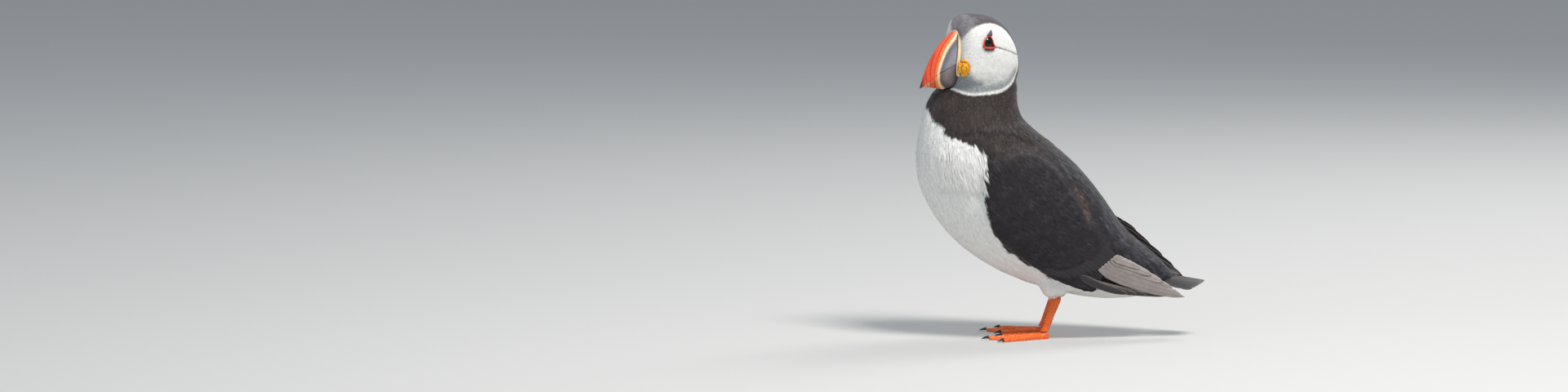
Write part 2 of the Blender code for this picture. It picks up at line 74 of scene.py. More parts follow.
# Where the long shoulder feathers of the back end over the wing: along the bird, above
SHOULDER_LINE = ((-40.0, 149.0), (-21.2, 141.2), (-11.6, 133.3), (-2.0, 123.8), (4.4, 114.5),
                 (12.4, 108.5), (20.4, 96.6), (26.8, 83.9), (33.2, 71.1), (36.4, 63.1),
                 (48.0, 56.0), (70.0, 40.0), (90.0, 30.0))
# A brown streak just under it: above, along
RUSTY_STREAK = ((86.0, 16.5), (91.0, 15.5), (98.0, 13.5), (105.0, 10.5), (109.5, 6.5))
STREAK_WIDTH = 1.9
# Rim of the white cheek: degrees round its middle, reach
CHEEK_MIDDLE = (-2.5, 195.0)
CHEEK_RIM = ((-180.0, 40.0), (-150.0, 40.0), (-143.0, 34.5), (-140.2, 32.6), (-132.1, 30.1),
             (-124.6, 27.3), (-118.4, 25.0), (-108.5, 22.4), (-95.1, 20.6), (-77.9, 19.8),
             (-58.4, 19.7), (-40.9, 20.8), (-25.6, 22.2), (-12.5, 22.2), (3.5, 21.8), (19.8, 21.9),
             (37.9, 22.3), (53.6, 23.0), (69.2, 24.4), (85.1, 25.9), (99.3, 27.3), (112.2, 28.9),
             (121.8, 30.0), (129.5, 30.2), (137.2, 29.2), (142.1, 28.3), (145.8, 27.5),
             (149.0, 27.5), (153.0, 40.0), (180.0, 40.0))
# How much further forward the far cheek's rim reaches: degrees, reach
FAR_RIM = ((98.0, 0.0), (112.0, 2.2), (128.0, 1.4), (150.0, 0.9))
# Above it the cheek is white, below it grey, partly the lower cheek's own grey and partly painted shade:
# along, above
SHADE_LINE = ((-26.0, 191.0), (-21.8, 189.5), (-18.6, 186.9), (-14.1, 183.6), (-7.5, 183.0),
              (-0.8, 184.0), (6.3, 185.8), (11.6, 188.4), (18.0, 192.0))
EYE_SPOT = (-9.9, 210.6)                         # the eye's middle: along, above
SOCKET_DEPTH = 2.4                               # the skin gives way this far under the eye
SOCKET_REACH = (3.5, 2.3)                        # where it starts to give way, and where it has
SOCKET_BACK = 0.9                                # the socket's middle lies this far behind the eye's
CREASE_WIDTH, CREASE_DEPTH = 0.8, 0.5            # of the furrow behind the eye
FACE_SIDE = 6.0                                  # beyond this the head counts as its side
ROSETTE_SPOT = (-24.9, 191.3)                    # the middle of the gape's fold: along, above
ROSETTE_STAND = 14.0                             # how far from the head's middle it lies
# The cere's line down the side of the bill's root: along, above, how far it stands out
CERE_SIDE = ((-23.9, 214.3, 0.4), (-23.6, 211.0, 0.9), (-24.9, 206.5, 0.9), (-26.0, 201.5, 0.5),
             (-26.5, 196.5, 0.4), (-26.8, 191.5, 0.7), (-26.4, 187.5, 1.0), (-25.2, 184.6, 1.5))
CERE_ROOT = -26.6                                # where along the bill the cere is fitted round it
# The dark crease that runs back from the eye: along, above, in the head's frame
CREASE = ((-3.6, 206.6), (0.1, 205.9), (4.0, 204.7), (9.0, 203.1), (14.7, 200.8), (18.3, 199.4))
# How far back white breast feathers hang over the wing's front edge: above, along
WING_FRONT = ((60.0, -62.0), (70.0, -52.0), (78.6, -50.5), (87.0, -52.0), (95.0, -53.5),
              (103.0, -54.8), (111.0, -54.8), (117.4, -54.0), (123.7, -53.0), (130.0, -52.0),
              (133.0, -53.0), (137.0, -60.0))
# The middle of the folded wing: along the bird, above
WING_MIDDLE = ((-60.0, 124.0), (-43.0, 116.0), (-31.0, 103.0), (-19.0, 90.0), (-3.5, 73.5),
               (14.0, 57.0), (30.0, 46.0), (48.0, 40.0))

FAR_LIFT = 24.0                                  # how much higher the right wing lies at the most

# Bill: along, ridge, gape, lower edge, half width, in the head's frame
BILL_ROWS = (
    (-22.0, 213.4, 194.2, 175.2, 7.8),
    (-27.0, 214.8, 192.6, 174.4, 8.3),
    (-29.5, 213.5, 191.4, 173.9, 7.9),
    (-33.0, 210.4, 189.4, 173.7, 7.1),
    (-38.1, 204.9, 186.2, 174.3, 5.7),
    (-43.0, 197.8, 182.3, 175.1, 4.3),
    (-46.7, 189.4, 178.6, 175.2, 3.0),
    (-49.3, 180.9, 176.2, 174.8, 1.6),
    (-50.6, 175.4, 174.5, 173.6, 0.7),
)
UPPER_SECTION = ((0.96, 0.0), (1.0, 0.12), (0.92, 0.35), (0.72, 0.6), (0.48, 0.8), (0.27, 0.94),
                 (0.12, 0.99))
LOWER_SECTION = ((0.96, 0.0), (0.95, 0.18), (0.80, 0.48), (0.54, 0.76), (0.26, 0.94), (0.12, 0.99))
# The second pale ridge, which parts the slate plate from the red: above, along
RIDGE_LINE = ((169.5, -27.2), (171.8, -29.4), (173.8, -32.4), (176.7, -36.4), (180.7, -38.9),
              (185.5, -39.7), (191.3, -38.9), (196.4, -37.2), (201.5, -34.9), (206.4, -31.6),
              (211.3, -27.4), (216.0, -22.8))


def linear(code):
    """A colour written in hexadecimal as linear red, green and blue."""
    shares = np.array([int(code[k:k + 2], 16) / 255 for k in (0, 2, 4)])
    return np.where(shares <= 0.04045, shares / 12.92, ((shares + 0.055) / 1.055) ** 2.4)


WHITE = linear("f0efec")
# the lower cheek's grey: partly its own grey, partly painted shade
CHEEK_GREY_AND_SHADE = linear("8f9596")
BLACK = linear("252227")
WING_BLACK = linear("231f23")
COLLAR = linear("332a29")
CROWN = linear("474046")
FOREHEAD = linear("8d898f")
RUST = linear("69544a")
# a painted bluish-grey sheen for the black back
BACK_SHEEN = linear("595c66")
CREASE_DARK = linear("3a3638")
PALE_QUILL = linear("958b87")
# the dark quills' own colour, also used as painted shade on the inner side of every vane
DARK_QUILL = linear("2f2a2c")
QUILL_EDGE = linear("7d726d")
TAIL_TIP = linear("7b6a64")


def smooth_rows(rows, count):
    """Rows of numbers run through a Catmull-Rom curve and read at even steps."""
    rows = np.asarray(rows, dtype=float)
    padded = np.vstack((2 * rows[0] - rows[1], rows, 2 * rows[-1] - rows[-2]))
    places = np.linspace(0, len(rows) - 1, count)
    index = np.minimum(places.astype(int), len(rows) - 2)
    t = (places - index)[:, None]
    a, b, c, d = (padded[index + k] for k in range(4))
    return b + 0.5 * t * (c - a + t * (2 * a - 5 * b + 4 * c - d + t * (3 * (b - c) + d - a)))


def read_line(line, at):
    """A table of places and values read at other places."""
    places, values = np.array(line).T
    return np.interp(at, places, values)


def unit(vectors):
    """Vectors brought to length one."""
    return vectors / np.maximum(np.linalg.norm(vectors, axis=-1, keepdims=True), 1e-12)


def blend_step(low, high, values):
    """A smooth step from 0 at low to 1 at high."""
    t = np.clip((np.asarray(values, dtype=float) - low) / (high - low), 0.0, 1.0)
    return t * t * (3 - 2 * t)


def mix(first, second, share):
    """Colours between two, by a share for each point."""
    return first + (second - first) * np.asarray(share)[..., None]


def waves(points, size, seed):
    """Smooth bumps of about -1 to 1, of about a size in millimetres."""
    chance = np.random.default_rng(seed)
    total = np.zeros(len(points))
    for _ in range(8):
        heading = unit(chance.normal(size=3))
        rate = 2 * math.pi / (size * MM * chance.uniform(0.7, 1.7))
        total += np.sin(points @ heading * rate + chance.uniform(0, 2 * math.pi))
    return total / 2.8


def side_place(points):
    """How far along the bird and how high places lie, in millimetres."""
    return points[:, 1] / MM - BODY_SHIFT, points[:, 2] / MM


def head_place(points):
    """Places in the head's own frame in millimetres, its height told from the floor."""
    local = (points / MM - HEAD_PIVOT) @ HEAD_TURN
    local[:, 2] += HEAD_PIVOT[2]
    return local


def head_point(x, along, above):
    """The place in the room of a point told in the head's own frame."""
    local = np.array((x, along, above - HEAD_PIVOT[2]))
    return Vector((HEAD_TURN @ local + HEAD_PIVOT) * MM)


def field_of(items, field, width=1, kind=np.int32):
    """One field of a mesh's items as an array, in rows where it is wider than one."""
    values = np.empty(len(items) * width, dtype=kind)
    items.foreach_get(field, values)
    return values if width == 1 else values.reshape(-1, width)


def places_of(mesh):
    """The places of a mesh's vertices."""
    return field_of(mesh.vertices, "co", 3, np.float32).astype(float)


def normals_of(mesh):
    """Which way a mesh's surface faces at its vertices."""
    return field_of(mesh.vertex_normals, "vector", 3, np.float32).astype(float)


def mesh_of(bm, name):
    """A mesh made from a bmesh, which is then let go."""
    mesh = bpy.data.meshes.new(name)
    bm.to_mesh(mesh)
    bm.free()
    return mesh


def take_in(whole, part):
    """Adds one bmesh to another and lets it go."""
    held = mesh_of(part, "held")
    whole.from_mesh(held)
    bpy.data.meshes.remove(held)


def set_places(mesh, points):
    """Moves a mesh's vertices to the given places."""
    mesh.vertices.foreach_set("co", np.asarray(points, dtype=np.float32).ravel())
    mesh.update()


def set_colours(mesh, name, colours):
    """Gives each vertex of a mesh a colour."""
    rows = np.ones((len(mesh.vertices), 4), dtype=np.float32)
    rows[:, :3] = colours
    mesh.color_attributes.new(name, "FLOAT_COLOR", "POINT").data.foreach_set("color", rows.ravel())


def set_values(mesh, name, values):
    """Gives each vertex of a mesh a number."""
    field = mesh.attributes.new(name, "FLOAT", "POINT")
    field.data.foreach_set("value", np.asarray(values, dtype=np.float32))


def put_in_scene(name, data):
    """A new object of the scene that shows a mesh, a lamp or a lens."""
    made = bpy.data.objects.new(name, data)
    bpy.context.scene.collection.objects.link(made)
    return made


def add_piece(name, mesh, finish, replaced=()):
    """Puts a finished mesh in the scene, riding on the bird."""
    piece = put_in_scene(name, mesh)
    mesh.name = name
    if not mesh.materials:
        mesh.materials.append(finish)
    mesh.polygons.foreach_set("use_smooth", [True] * len(mesh.polygons))
    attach(piece, "root")
    if replaced:
        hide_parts(*replaced)
    return piece


def evened(mesh, voxel, rounds):
    """A fine even copy of a closed mesh, smoothed a number of rounds."""
    holder = put_in_scene("evened", mesh)
    fine = holder.modifiers.new("fine", "REMESH")
    fine.mode = "VOXEL"
    fine.voxel_size = voxel * MM
    soft = holder.modifiers.new("soft", "SMOOTH")
    soft.factor = 0.5
    soft.iterations = rounds
    bpy.context.view_layer.update()
    seen = holder.evaluated_get(bpy.context.evaluated_depsgraph_get())
    made = bpy.data.meshes.new_from_object(seen)
    made.materials.clear()
    bpy.data.objects.remove(holder, do_unlink=True)
    return made


def merged_copy(names, grow=0.0):
    """One mesh of copies of CAD nodes, their doubles merged, grown outwards in millimetres."""
    whole = bmesh.new()
    for name in names:
        part = bmesh.new()
        part.from_mesh(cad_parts[name].data)
        bmesh.ops.remove_doubles(part, verts=part.verts, dist=1e-6)
        part.normal_update()
        for vertex in part.verts:
            vertex.co += vertex.normal * grow * MM
        take_in(whole, part)
    return mesh_of(whole, "merged")


class Surface:
    """A mesh that can be asked for its nearest place and for what lies there."""

    def __init__(self, mesh):
        mesh.calc_loop_triangles()
        self.points = places_of(mesh)
        self.normals = normals_of(mesh)
        self.faces = field_of(mesh.loop_triangles, "vertices", 3)
        self.tree = BVHTree.FromPolygons(self.points.tolist(), self.faces.tolist())

    def nearest(self, places):
        """Nearest spots, their faces, and their shares of the faces' corners."""
        hits = [self.tree.find_nearest(place) for place in places.tolist()]
        spots = np.array([hit[0] for hit in hits])
        faces = np.array([hit[2] for hit in hits])
        return spots, faces, self.shares(spots, faces)

    def shares(self, spots, faces):
        """How much each corner of a face counts at a spot on it."""
        a, b, c = (self.points[self.faces[faces, k]] for k in range(3))
        along, across, out = b - a, c - a, spots - a
        d00 = (along * along).sum(1)
        d01 = (along * across).sum(1)
        d11 = (across * across).sum(1)
        d20 = (out * along).sum(1)
        d21 = (out * across).sum(1)
        area = np.maximum(d00 * d11 - d01 * d01, 1e-18)
        second = (d11 * d20 - d01 * d21) / area
        third = (d00 * d21 - d01 * d20) / area
        return np.clip(np.stack((1 - second - third, second, third), axis=1), 0.0, 1.0)

    def read(self, values, faces, shares):
        """Values of the vertices, blended at spots on faces."""
        return (values[self.faces[faces]] * shares[..., None]).sum(axis=1)


def flow_at(points):
    """Which way plumage lies, how far along the bird, and how far round it."""
    line = smooth_rows(FLOW_LINE, 160) * MM
    headings = unit(np.gradient(line, axis=0))
    lie = np.empty((len(points), 3))
    along = np.empty(len(points))
    middle = np.empty((len(points), 3))
    for start in range(0, len(points), 4000):
        part = slice(start, start + 4000)
        gaps = np.linalg.norm(points[part, None, :] - line[None, :, :], axis=2)
        weights = np.exp(-(gaps - gaps.min(axis=1, keepdims=True)) / (FLOW_SOFTNESS * MM))
        weights /= weights.sum(axis=1, keepdims=True)
        lie[part] = weights @ headings
        along[part] = weights @ np.linspace(0, 1, len(line))
        middle[part] = weights @ line
    lie = unit(lie)
    out = points - middle
    sideways = unit(np.cross(lie, (1.0, 0.0, 0.0)))
    around = np.arctan2(out[:, 0], (out * sideways).sum(axis=1)) / (2 * math.pi) + 0.5
    return lie, along, around


def tangents(headings, normals):
    """Headings laid flat on the surface."""
    return unit(headings - normals * (headings * normals).sum(axis=1, keepdims=True))


def crease_gap(local):
    """Distance of points on the head to the crease behind the eye, seen from the side."""
    line = smooth_rows(CREASE, 24)
    gaps = np.linalg.norm(local[:, None, 1:] - line[None, :, :], axis=2)
    return gaps.min(axis=1)


def cheek_depth(local):
    """How far inside the rim of the white cheek a place in the head's frame lies."""
    above = local[:, 2] - CHEEK_MIDDLE[1]
    along = local[:, 1] - CHEEK_MIDDLE[0]
    turn = np.degrees(np.arctan2(above, along))
    far = read_line(FAR_RIM, turn) * (local[:, 0] < 0) * (turn > 0)
    return read_line(CHEEK_RIM, turn) + far - np.hypot(along, above)


def cheek_share(local):
    """1 on the white cheeks, 0 off them, for places in the head's frame."""
    inside = blend_step(-0.5, 0.5, cheek_depth(local))
    chin = blend_step(1.5, 4.5, np.abs(local[:, 0]) + 0.35 * (local[:, 2] - 170.0))
    return inside * chin


def far_lift(along):
    """How much higher the right wing lies over the rump at a distance along the bird."""
    fall = np.clip((along - 50.0) / 37.0, 0.0, 1.0)
    return FAR_LIFT * blend_step(-20.0, 40.0, along) * (1 - 0.45 * fall)


def markings(points, regions):
    """The plumage's colours at places on the bird, by the region they belong to, with painted shade on the
    lower cheek and under the shoulder feathers and a painted sheen on the back.
    """
    wobble = waves(points, 9.0, 3)
    local = head_place(points)
    # trunk: black above, white below a ragged line
    side_y, side_z = side_place(points)
    white = 1 - blend_step(-0.8, 0.8, side_z - read_line(BODY_LINE, side_y) + 1.2 * wobble)
    back = mix(BLACK, BLACK * 1.5, blend_step(0.1, 1.0, waves(points, 14.0, 5)))
    body = mix(back, WHITE, white)
    collar = mix(COLLAR, COLLAR * 1.25, blend_step(-0.4, 0.9, wobble))
    high = blend_step(118.0, 140.0, side_z)
    body = mix(body, mix(body, collar, high), 1 - white)
    # head: white cheeks under a dark cap that pales on the forehead, the cheeks greyed low down with their
    # own grey and painted shade
    cap = mix(CROWN, CROWN * 0.72, blend_step(4.0, 20.0, local[:, 1]))
    pale_front = blend_step(-12.0, -21.0, local[:, 1]) * blend_step(206.0, 213.0, local[:, 2])
    cap = mix(cap, FOREHEAD, pale_front * (0.8 + 0.2 * wobble))
    cap = mix(cap, COLLAR, blend_step(196.0, 178.0, local[:, 2]))
    # painted shade: below the shade line the cheek turns grey, partly its own grey and partly shade on the
    # lower cheek
    low_grey_and_shade = blend_step(3.0, -5.5, local[:, 2] - read_line(SHADE_LINE, local[:, 1]) + 0.4 * wobble)
    cheek = mix(WHITE, CHEEK_GREY_AND_SHADE, low_grey_and_shade * blend_step(0.8, 2.6, cheek_depth(local)))
    face = mix(cap, cheek, cheek_share(local))
    on_side = blend_step(8.0, 10.0, np.abs(local[:, 0]))
    face = mix(face, CREASE_DARK, (1 - blend_step(0.35, 0.75, crease_gap(local))) * on_side * 0.85)
    # wing and back: black, with patches of painted grey-blue sheen where the shoulder feathers lie, with a
    # brown streak below them
    wing = mix(WING_BLACK, WING_BLACK * 1.45, blend_step(0.0, 1.1, waves(points, 8.0, 8)))
    drop = read_line(SHOULDER_LINE, side_y) + far_lift(side_y) * (points[:, 0] < 0) - side_z + wobble
    # painted sheen: bluish-grey patches mixed into the black back
    sheened_back = mix(back, BACK_SHEEN, 0.45 * blend_step(-0.6, 1.2, waves(points, 5.0, 12)))
    lower = blend_step(-0.5, 0.5, drop) * (np.abs(points[:, 0]) > 8.0 * MM)
    shoulder = 0.9 * blend_step(122.0, 144.0, side_z + 3.0 * wobble)
    wing = mix(wing, collar, shoulder)
    dorsal = mix(mix(sheened_back, collar, high * 0.8), mix(mix(back, wing, 0.7), collar, shoulder), lower)
    body = mix(dorsal, body, white)
    # painted shade: the black plumage is darkened in a band just under the edge of the shoulder feathers,
    # where they overhang the wing
    seam = blend_step(-0.4, 0.6, drop) * blend_step(5.0, 1.0, drop) * lower
    off = (side_y - read_line(RUSTY_STREAK, side_z)) / STREAK_WIDTH
    rusty = np.exp(-off ** 2) * blend_step(83.0, 90.0, side_z) * blend_step(113.0, 106.0, side_z)
    rusty = rusty * (0.5 + 0.45 * waves(points, 3.0, 9)) * (points[:, 0] > 0)
    wing = mix(wing, RUST, np.clip(rusty, 0, 1))
    body = mix(body * (1 - 0.45 * seam * (1 - white))[:, None], RUST, np.clip(rusty, 0, 1))
    wing = mix(wing, WHITE, blend_step(0.6, -0.6, side_y - read_line(WING_FRONT, side_z) + wobble))
    throat = mix(mix(collar, WHITE, white), cheek, cheek_share(local))
    colours = np.where((regions == HEAD)[:, None], face, body)
    colours = np.where((regions == NECK)[:, None], throat, colours)
    colours = np.where((regions == WING)[:, None], wing, colours)
    colours = np.where((regions == THIGH)[:, None], WHITE, colours)
    return colours


def spread_out(values, edges, rounds, share=0.5):
    """Values of the vertices evened out with their neighbours' over a number of rounds."""
    values = np.array(values, dtype=float)
    ends = np.concatenate((edges[:, 0], edges[:, 1]))
    others = np.concatenate((edges[:, 1], edges[:, 0]))
    count = np.maximum(np.bincount(ends, minlength=len(values)), 1)
    columns = values.reshape(len(values), -1)
    share = np.broadcast_to(np.asarray(share, dtype=float), (len(values),))
    for _ in range(rounds):
        near = np.stack([np.bincount(ends, columns[others, k], len(values)) / count
                         for k in range(columns.shape[1])], axis=1)
        columns = columns + (near - columns) * share[:, None]
    return columns.reshape(values.shape)


def make_skin():
    """The one skin under the plumage, and the surface that the plumage grows from."""
    mesh = evened(merged_copy(FLESH + FILLING, SKIN_GROW), SKIN_VOXEL, 1)
    owners = []
    joined = bmesh.new()
    for name in FLESH:
        before = len(joined.faces)
        joined.from_mesh(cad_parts[name].data)
        owners += [REGION_OF[name]] * (len(joined.faces) - before)
    tree = BVHTree.FromBMesh(joined)
    joined.free()
    points = places_of(mesh)
    regions = np.array([owners[tree.find_nearest(point)[2]] for point in points.tolist()])
    depth = np.array([COAT_DEPTH[region] for region in sorted(COAT_DEPTH)])[regions]
    edges = field_of(mesh.edges, "vertices", 2)
    depth = spread_out(depth, edges, 4)
    points = spread_out(points, edges, 4, np.where(regions == HEAD, 0.2, 0.5))

    def near_border(meets, rounds):
        """1 by the edges that a mask picks, falling to 0 away from them."""
        border = np.zeros(len(points))
        border[edges[meets].ravel()] = 1.0
        return np.clip(spread_out(border, edges, rounds) * 5.0, 0, 1)

    # the shoulder feathers blend the back into the upper edge of each folded wing
    first, second = regions[edges[:, 0]], regions[edges[:, 1]]
    along, above = side_place(points)
    middle = read_line(WING_MIDDLE, along) + far_lift(along) * (points[:, 0] < 0)
    easing = near_border((first == WING) != (second == WING), 14) * blend_step(2.0, 10.0, above - middle)
    easing *= blend_step(70.0, 30.0, along)
    hips = (first == THIGH) & (second == TRUNK) | (first == TRUNK) & (second == THIGH)
    easing = np.maximum(easing, near_border(hips, 12))
    points = spread_out(points, edges, EASING_ROUNDS, 0.5 * easing)
    set_places(mesh, points)
    local = head_place(points)
    face_side = (np.abs(local[:, 0]) > FACE_SIDE) * (regions == HEAD)
    furrow = np.exp(-(crease_gap(local) / CREASE_WIDTH) ** 2) * face_side
    from_eye = np.hypot(local[:, 1] - EYE_SPOT[0] - SOCKET_BACK, local[:, 2] - EYE_SPOT[1])
    socket = blend_step(*SOCKET_REACH, from_eye) * face_side
    inward = depth + SKIN_GROW + CREASE_DEPTH * furrow + SOCKET_DEPTH * socket
    set_places(mesh, points - normals_of(mesh) * inward[:, None] * MM)
    return mesh, regions


SKIN_MESH, SKIN_REGIONS = make_skin()
SKIN = Surface(SKIN_MESH)
SKIN_FLOW, SKIN_ALONG, SKIN_AROUND = flow_at(SKIN.points)
SKIN_FLOW = tangents(SKIN_FLOW, SKIN.normals)
FACE_REGIONS = np.array([np.bincount(row, minlength=5).argmax() for row in SKIN_REGIONS[SKIN.faces]])
FACE_MIDDLES = SKIN.points[SKIN.faces].mean(axis=1)


# ---------------------------------------------------------------- the coat

# A feather's rows of vertices: share of its length, share of its width
ROWS = ((0.0, 0.45), (0.3, 0.92), (0.62, 1.0))
ACROSS = np.array((-1.0, -0.6, -0.2, 0.2, 0.6, 1.0))
TIPS = np.array((-0.8, -0.4, 0.0, 0.4, 0.8))
TIP_SPREAD = 0.95                                # how wide the row of loose tips is
FEATHER_VERTICES = len(ROWS) * len(ACROSS) + len(TIPS)
PATCH = 0.003                                    # side of a feather's patch in the bake's map
TRIES = 4.0                                      # places tried for each feather that finds room
PATH_STEPS = 3                                   # a feather's path along the skin is laid in these
SKIN_PULL = 0.5                                  # each step is drawn back to the skin by this at most
SHORTER = 0.45                                   # what is left of a feather that lies in the eye's way
LENGTHS, WIDTHS, RISES = (0.82, 1.18), (0.8, 1.2), (0.75, 1.2)   # shares they vary between
TIP_REACH = (-0.13, 0.1)                         # how unevenly the loose tips end


def feather_faces():
    """The faces of one feather: strips along it that end in loose points."""
    wide = len(ACROSS)
    faces = []
    for row in range(len(ROWS) - 1):
        for strip in range(wide - 1):
            first = row * wide + strip
            faces.append((first, first + wide, first + wide + 1, first + 1))
    last = (len(ROWS) - 1) * wide
    for strip in range(wide - 1):
        faces.append((last + strip, last + wide + strip, last + strip + 1))
    return faces


def scatter(chosen, spacing):
    """Roots spread evenly over the chosen faces of the skin."""
    corners = SKIN.points[SKIN.faces[chosen]]
    areas = np.linalg.norm(np.cross(corners[:, 1] - corners[:, 0], corners[:, 2] - corners[:, 0]), axis=1)
    tries = int(areas.sum() / 2 / (spacing * MM) ** 2 * TRIES)
    picked = CHANCE.choice(len(chosen), tries, p=areas / areas.sum())
    shares = CHANCE.random((tries, 2))
    shares = np.where(shares.sum(axis=1, keepdims=True) > 1, 1 - shares, shares)
    shares = np.column_stack((1 - shares.sum(axis=1), shares))
    places = (corners[picked] * shares[..., None]).sum(axis=1)
    tree = KDTree(tries)
    for number, place in enumerate(places.tolist()):
        tree.insert(place, number)
    tree.balance()
    free = np.ones(tries, dtype=bool)
    kept = []
    for number, place in enumerate(places.tolist()):
        if free[number]:
            kept.append(number)
            for _, other, _ in tree.find_range(place, spacing * MM):
                free[other] = False
    return places[kept], chosen[picked[kept]], shares[kept]


def kept_clear(path):
    """True where a feather would cross the eye, the plates round it or the fold of the gape."""
    local = head_place(path.reshape(-1, 3))
    on_side = np.abs(local[:, 0]) > 5.0
    back, up = local[:, 1] - EYE_SPOT[0], local[:, 2] - EYE_SPOT[1]
    eye = np.hypot((back - 0.5) / (3.6 + 0.7 * blend_step(0.0, -3.0, up)), (up + 0.2) / 4.3) < 1
    above = np.hypot((back - 2.2 - 0.3 * (up - 5.0)) / 1.4, (up - 5.2) / 2.5) < 1
    below = np.hypot((back - 1.3) / 3.9, (up + 6.1) / 0.9) < 1
    fold = np.hypot((local[:, 1] - ROSETTE_SPOT[0]) / 3.1, (local[:, 2] - ROSETTE_SPOT[1]) / 5.0) < 1
    return ((eye | above | below | fold) & on_side).reshape(path.shape[:2]).any(axis=1)


def lay_paths(places, faces, shares, length, sway):
    """Four points for each feather, from its root along the skin, with the normals there."""
    normal = unit(SKIN.read(SKIN.normals, faces, shares))
    lie = SKIN.read(SKIN_FLOW, faces, shares)
    aside = np.cross(normal, lie)
    heading = tangents(lie + aside * np.tan(CHANCE.normal(0, sway, len(places)))[:, None], normal)
    path, normals = [places], [normal]
    for _ in range(PATH_STEPS):
        guess = path[-1] + heading * (length / PATH_STEPS * MM)[:, None]
        spots, at, held = SKIN.nearest(guess)
        pull = spots - guess
        reach = np.linalg.norm(pull, axis=1, keepdims=True)
        path.append(guess + pull * np.minimum(1.0, SKIN_PULL * MM / np.maximum(reach, 1e-9)))
        normal = unit(SKIN.read(SKIN.normals, at, held) + 0.3 * normals[-1])
        normals.append(normal)
        heading = tangents(heading * 0.65 + 0.35 * SKIN.read(SKIN_FLOW, at, held), normal)
    return np.stack(path, axis=1), np.stack(normals, axis=1)


def path_at(path, share):
    """Places a share of the way along paths of four points."""
    place = share * PATH_STEPS
    index = np.minimum(place.astype(int), PATH_STEPS - 1)
    rows = np.arange(len(path))
    t = (place - index)[:, None]
    return path[rows, index] * (1 - t) + path[rows, index + 1] * t


def for_each(value, places):
    """A value for each place: worked out there if it is a function, else one for all."""
    return value(places) if callable(value) else np.full(len(places), value)


def make_coat(name, slot, chosen, spacing, length, width, rise, sway, crisp=0.0, ragged=1.0):
    """One piece of the coat: many small feathers, each a vane of strips with loose ends."""
    places, faces, shares = scatter(chosen, spacing)
    long = for_each(length, places) * CHANCE.uniform(*LENGTHS, len(places))
    regions = FACE_REGIONS[faces]
    path, normals = lay_paths(places, faces, shares, long, sway)
    if (regions == HEAD).any():
        for _ in range(2):
            blocked = kept_clear(path)
            if blocked.any():
                long[blocked] *= SHORTER
                again = lay_paths(places[blocked], faces[blocked], shares[blocked], long[blocked], sway)
                path[blocked], normals[blocked] = again
        keep = ~kept_clear(path)
        places, faces, shares, long, regions, path, normals = (
            values[keep] for values in (places, faces, shares, long, regions, path, normals))
    count = len(places)
    wide = for_each(width, places) * CHANCE.uniform(*WIDTHS, count)
    lift = for_each(rise, places) * CHANCE.uniform(*RISES, count)
    dark = 1 - markings(places, regions).mean(axis=1)
    tint = 1 + CHANCE.normal(0, 1, count) * (0.02 + 0.17 * dark ** 4)
    patchy = 0.4 + 0.9 * blend_step(-0.6, 0.9, waves(places, 13.0, 71))
    worn = dark ** 4 * CHANCE.random(count) ** 2 * patchy
    tilt = CHANCE.normal(0, 0.07, (count, 2))
    splay = CHANCE.normal(0, 0.10, (count, len(TIPS)))
    ends = 1.0 + ragged * CHANCE.uniform(*TIP_REACH, (count, len(TIPS))) - 0.12 * TIPS ** 2
    # one row across the feather after another, from its root to its loose tips
    rows = [(share, np.full((count, len(ACROSS)), share), np.tile(ACROSS, (count, 1)), spread)
            for share, spread in ROWS]
    points, facings, colours = [], [], []
    for share, reaches, offsets, spread in rows + [(1.0, ends, TIPS + splay, TIP_SPREAD)]:
        at = np.full(count, share)
        middle = path_at(path, at)
        normal = unit(path_at(normals, at))
        heading = tangents(path_at(path, np.minimum(at + 0.2, 1.0))
                           - path_at(path, np.maximum(at - 0.2, 0.0)), normal)
        aside = np.cross(normal, heading)
        told = markings(places * (1 - crisp) + middle * crisp, regions)
        for along, across in zip(reaches.T, offsets.T):
            sideways = across * spread * wide / 2
            stand = 0.08 + lift * along ** 1.2 - 0.14 * across ** 2 * wide * spread / 2
            over = (along - at) * long
            points.append(middle + (heading * over[:, None] + aside * sideways[:, None]
                                    + normal * stand[:, None]) * MM)
            facings.append(unit(normal + heading * (0.05 + tilt[:, :1])
                                + aside * (0.12 * across + tilt[:, 1])[:, None]))
            # painted shade: each feather is darker towards its root, where the feathers over it shade it,
            # more so on dark feathers
            shade = 1 - (0.03 + 0.34 * dark) * (1 - blend_step(0.0, 0.75, along))
            strand = 1.0 + (0.02 + 0.12 * dark) * np.sin(29.0 * across + 60.0 * tint)
            edge = 1 + 1.3 * worn * blend_step(0.5, 1.05, along + 0.3 * np.abs(across))
            colours.append(told * (shade * strand * tint * edge)[:, None])
    points, facings, colours = (np.stack(part, axis=1).reshape(-1, 3)
                                for part in (points, facings, colours))
    one = feather_faces()
    every = [[first + k for k in face] for first in range(0, len(points), FEATHER_VERTICES) for face in one]
    mesh = bpy.data.meshes.new(name)
    mesh.from_pydata(points.tolist(), [], every)
    mesh.update()
    set_colours(mesh, "coat", np.clip(colours, 0.0, 0.95))
    along = SKIN.read(SKIN_ALONG[:, None], faces, shares)[:, 0]
    around = SKIN_AROUND[SKIN.faces[faces, 0]]
    spread_map(mesh, along, around)
    mesh.polygons.foreach_set("use_smooth", [True] * len(mesh.polygons))
    mesh.normals_split_custom_set_from_vertices(facings.tolist())
    print("coat", name, count, "feathers")
    add_piece(name, mesh, PLUMAGE)


def inset(places):
    """Places of the bake's map, kept a little clear of its edges."""
    return places * 0.98 + 0.01


def set_map(mesh, corners):
    """Gives the mesh its map for the bake, a place for each corner of each face."""
    layer = mesh.uv_layers.new(name="OFBake")
    layer.data.foreach_set("uv", corners.astype(np.float32).ravel())


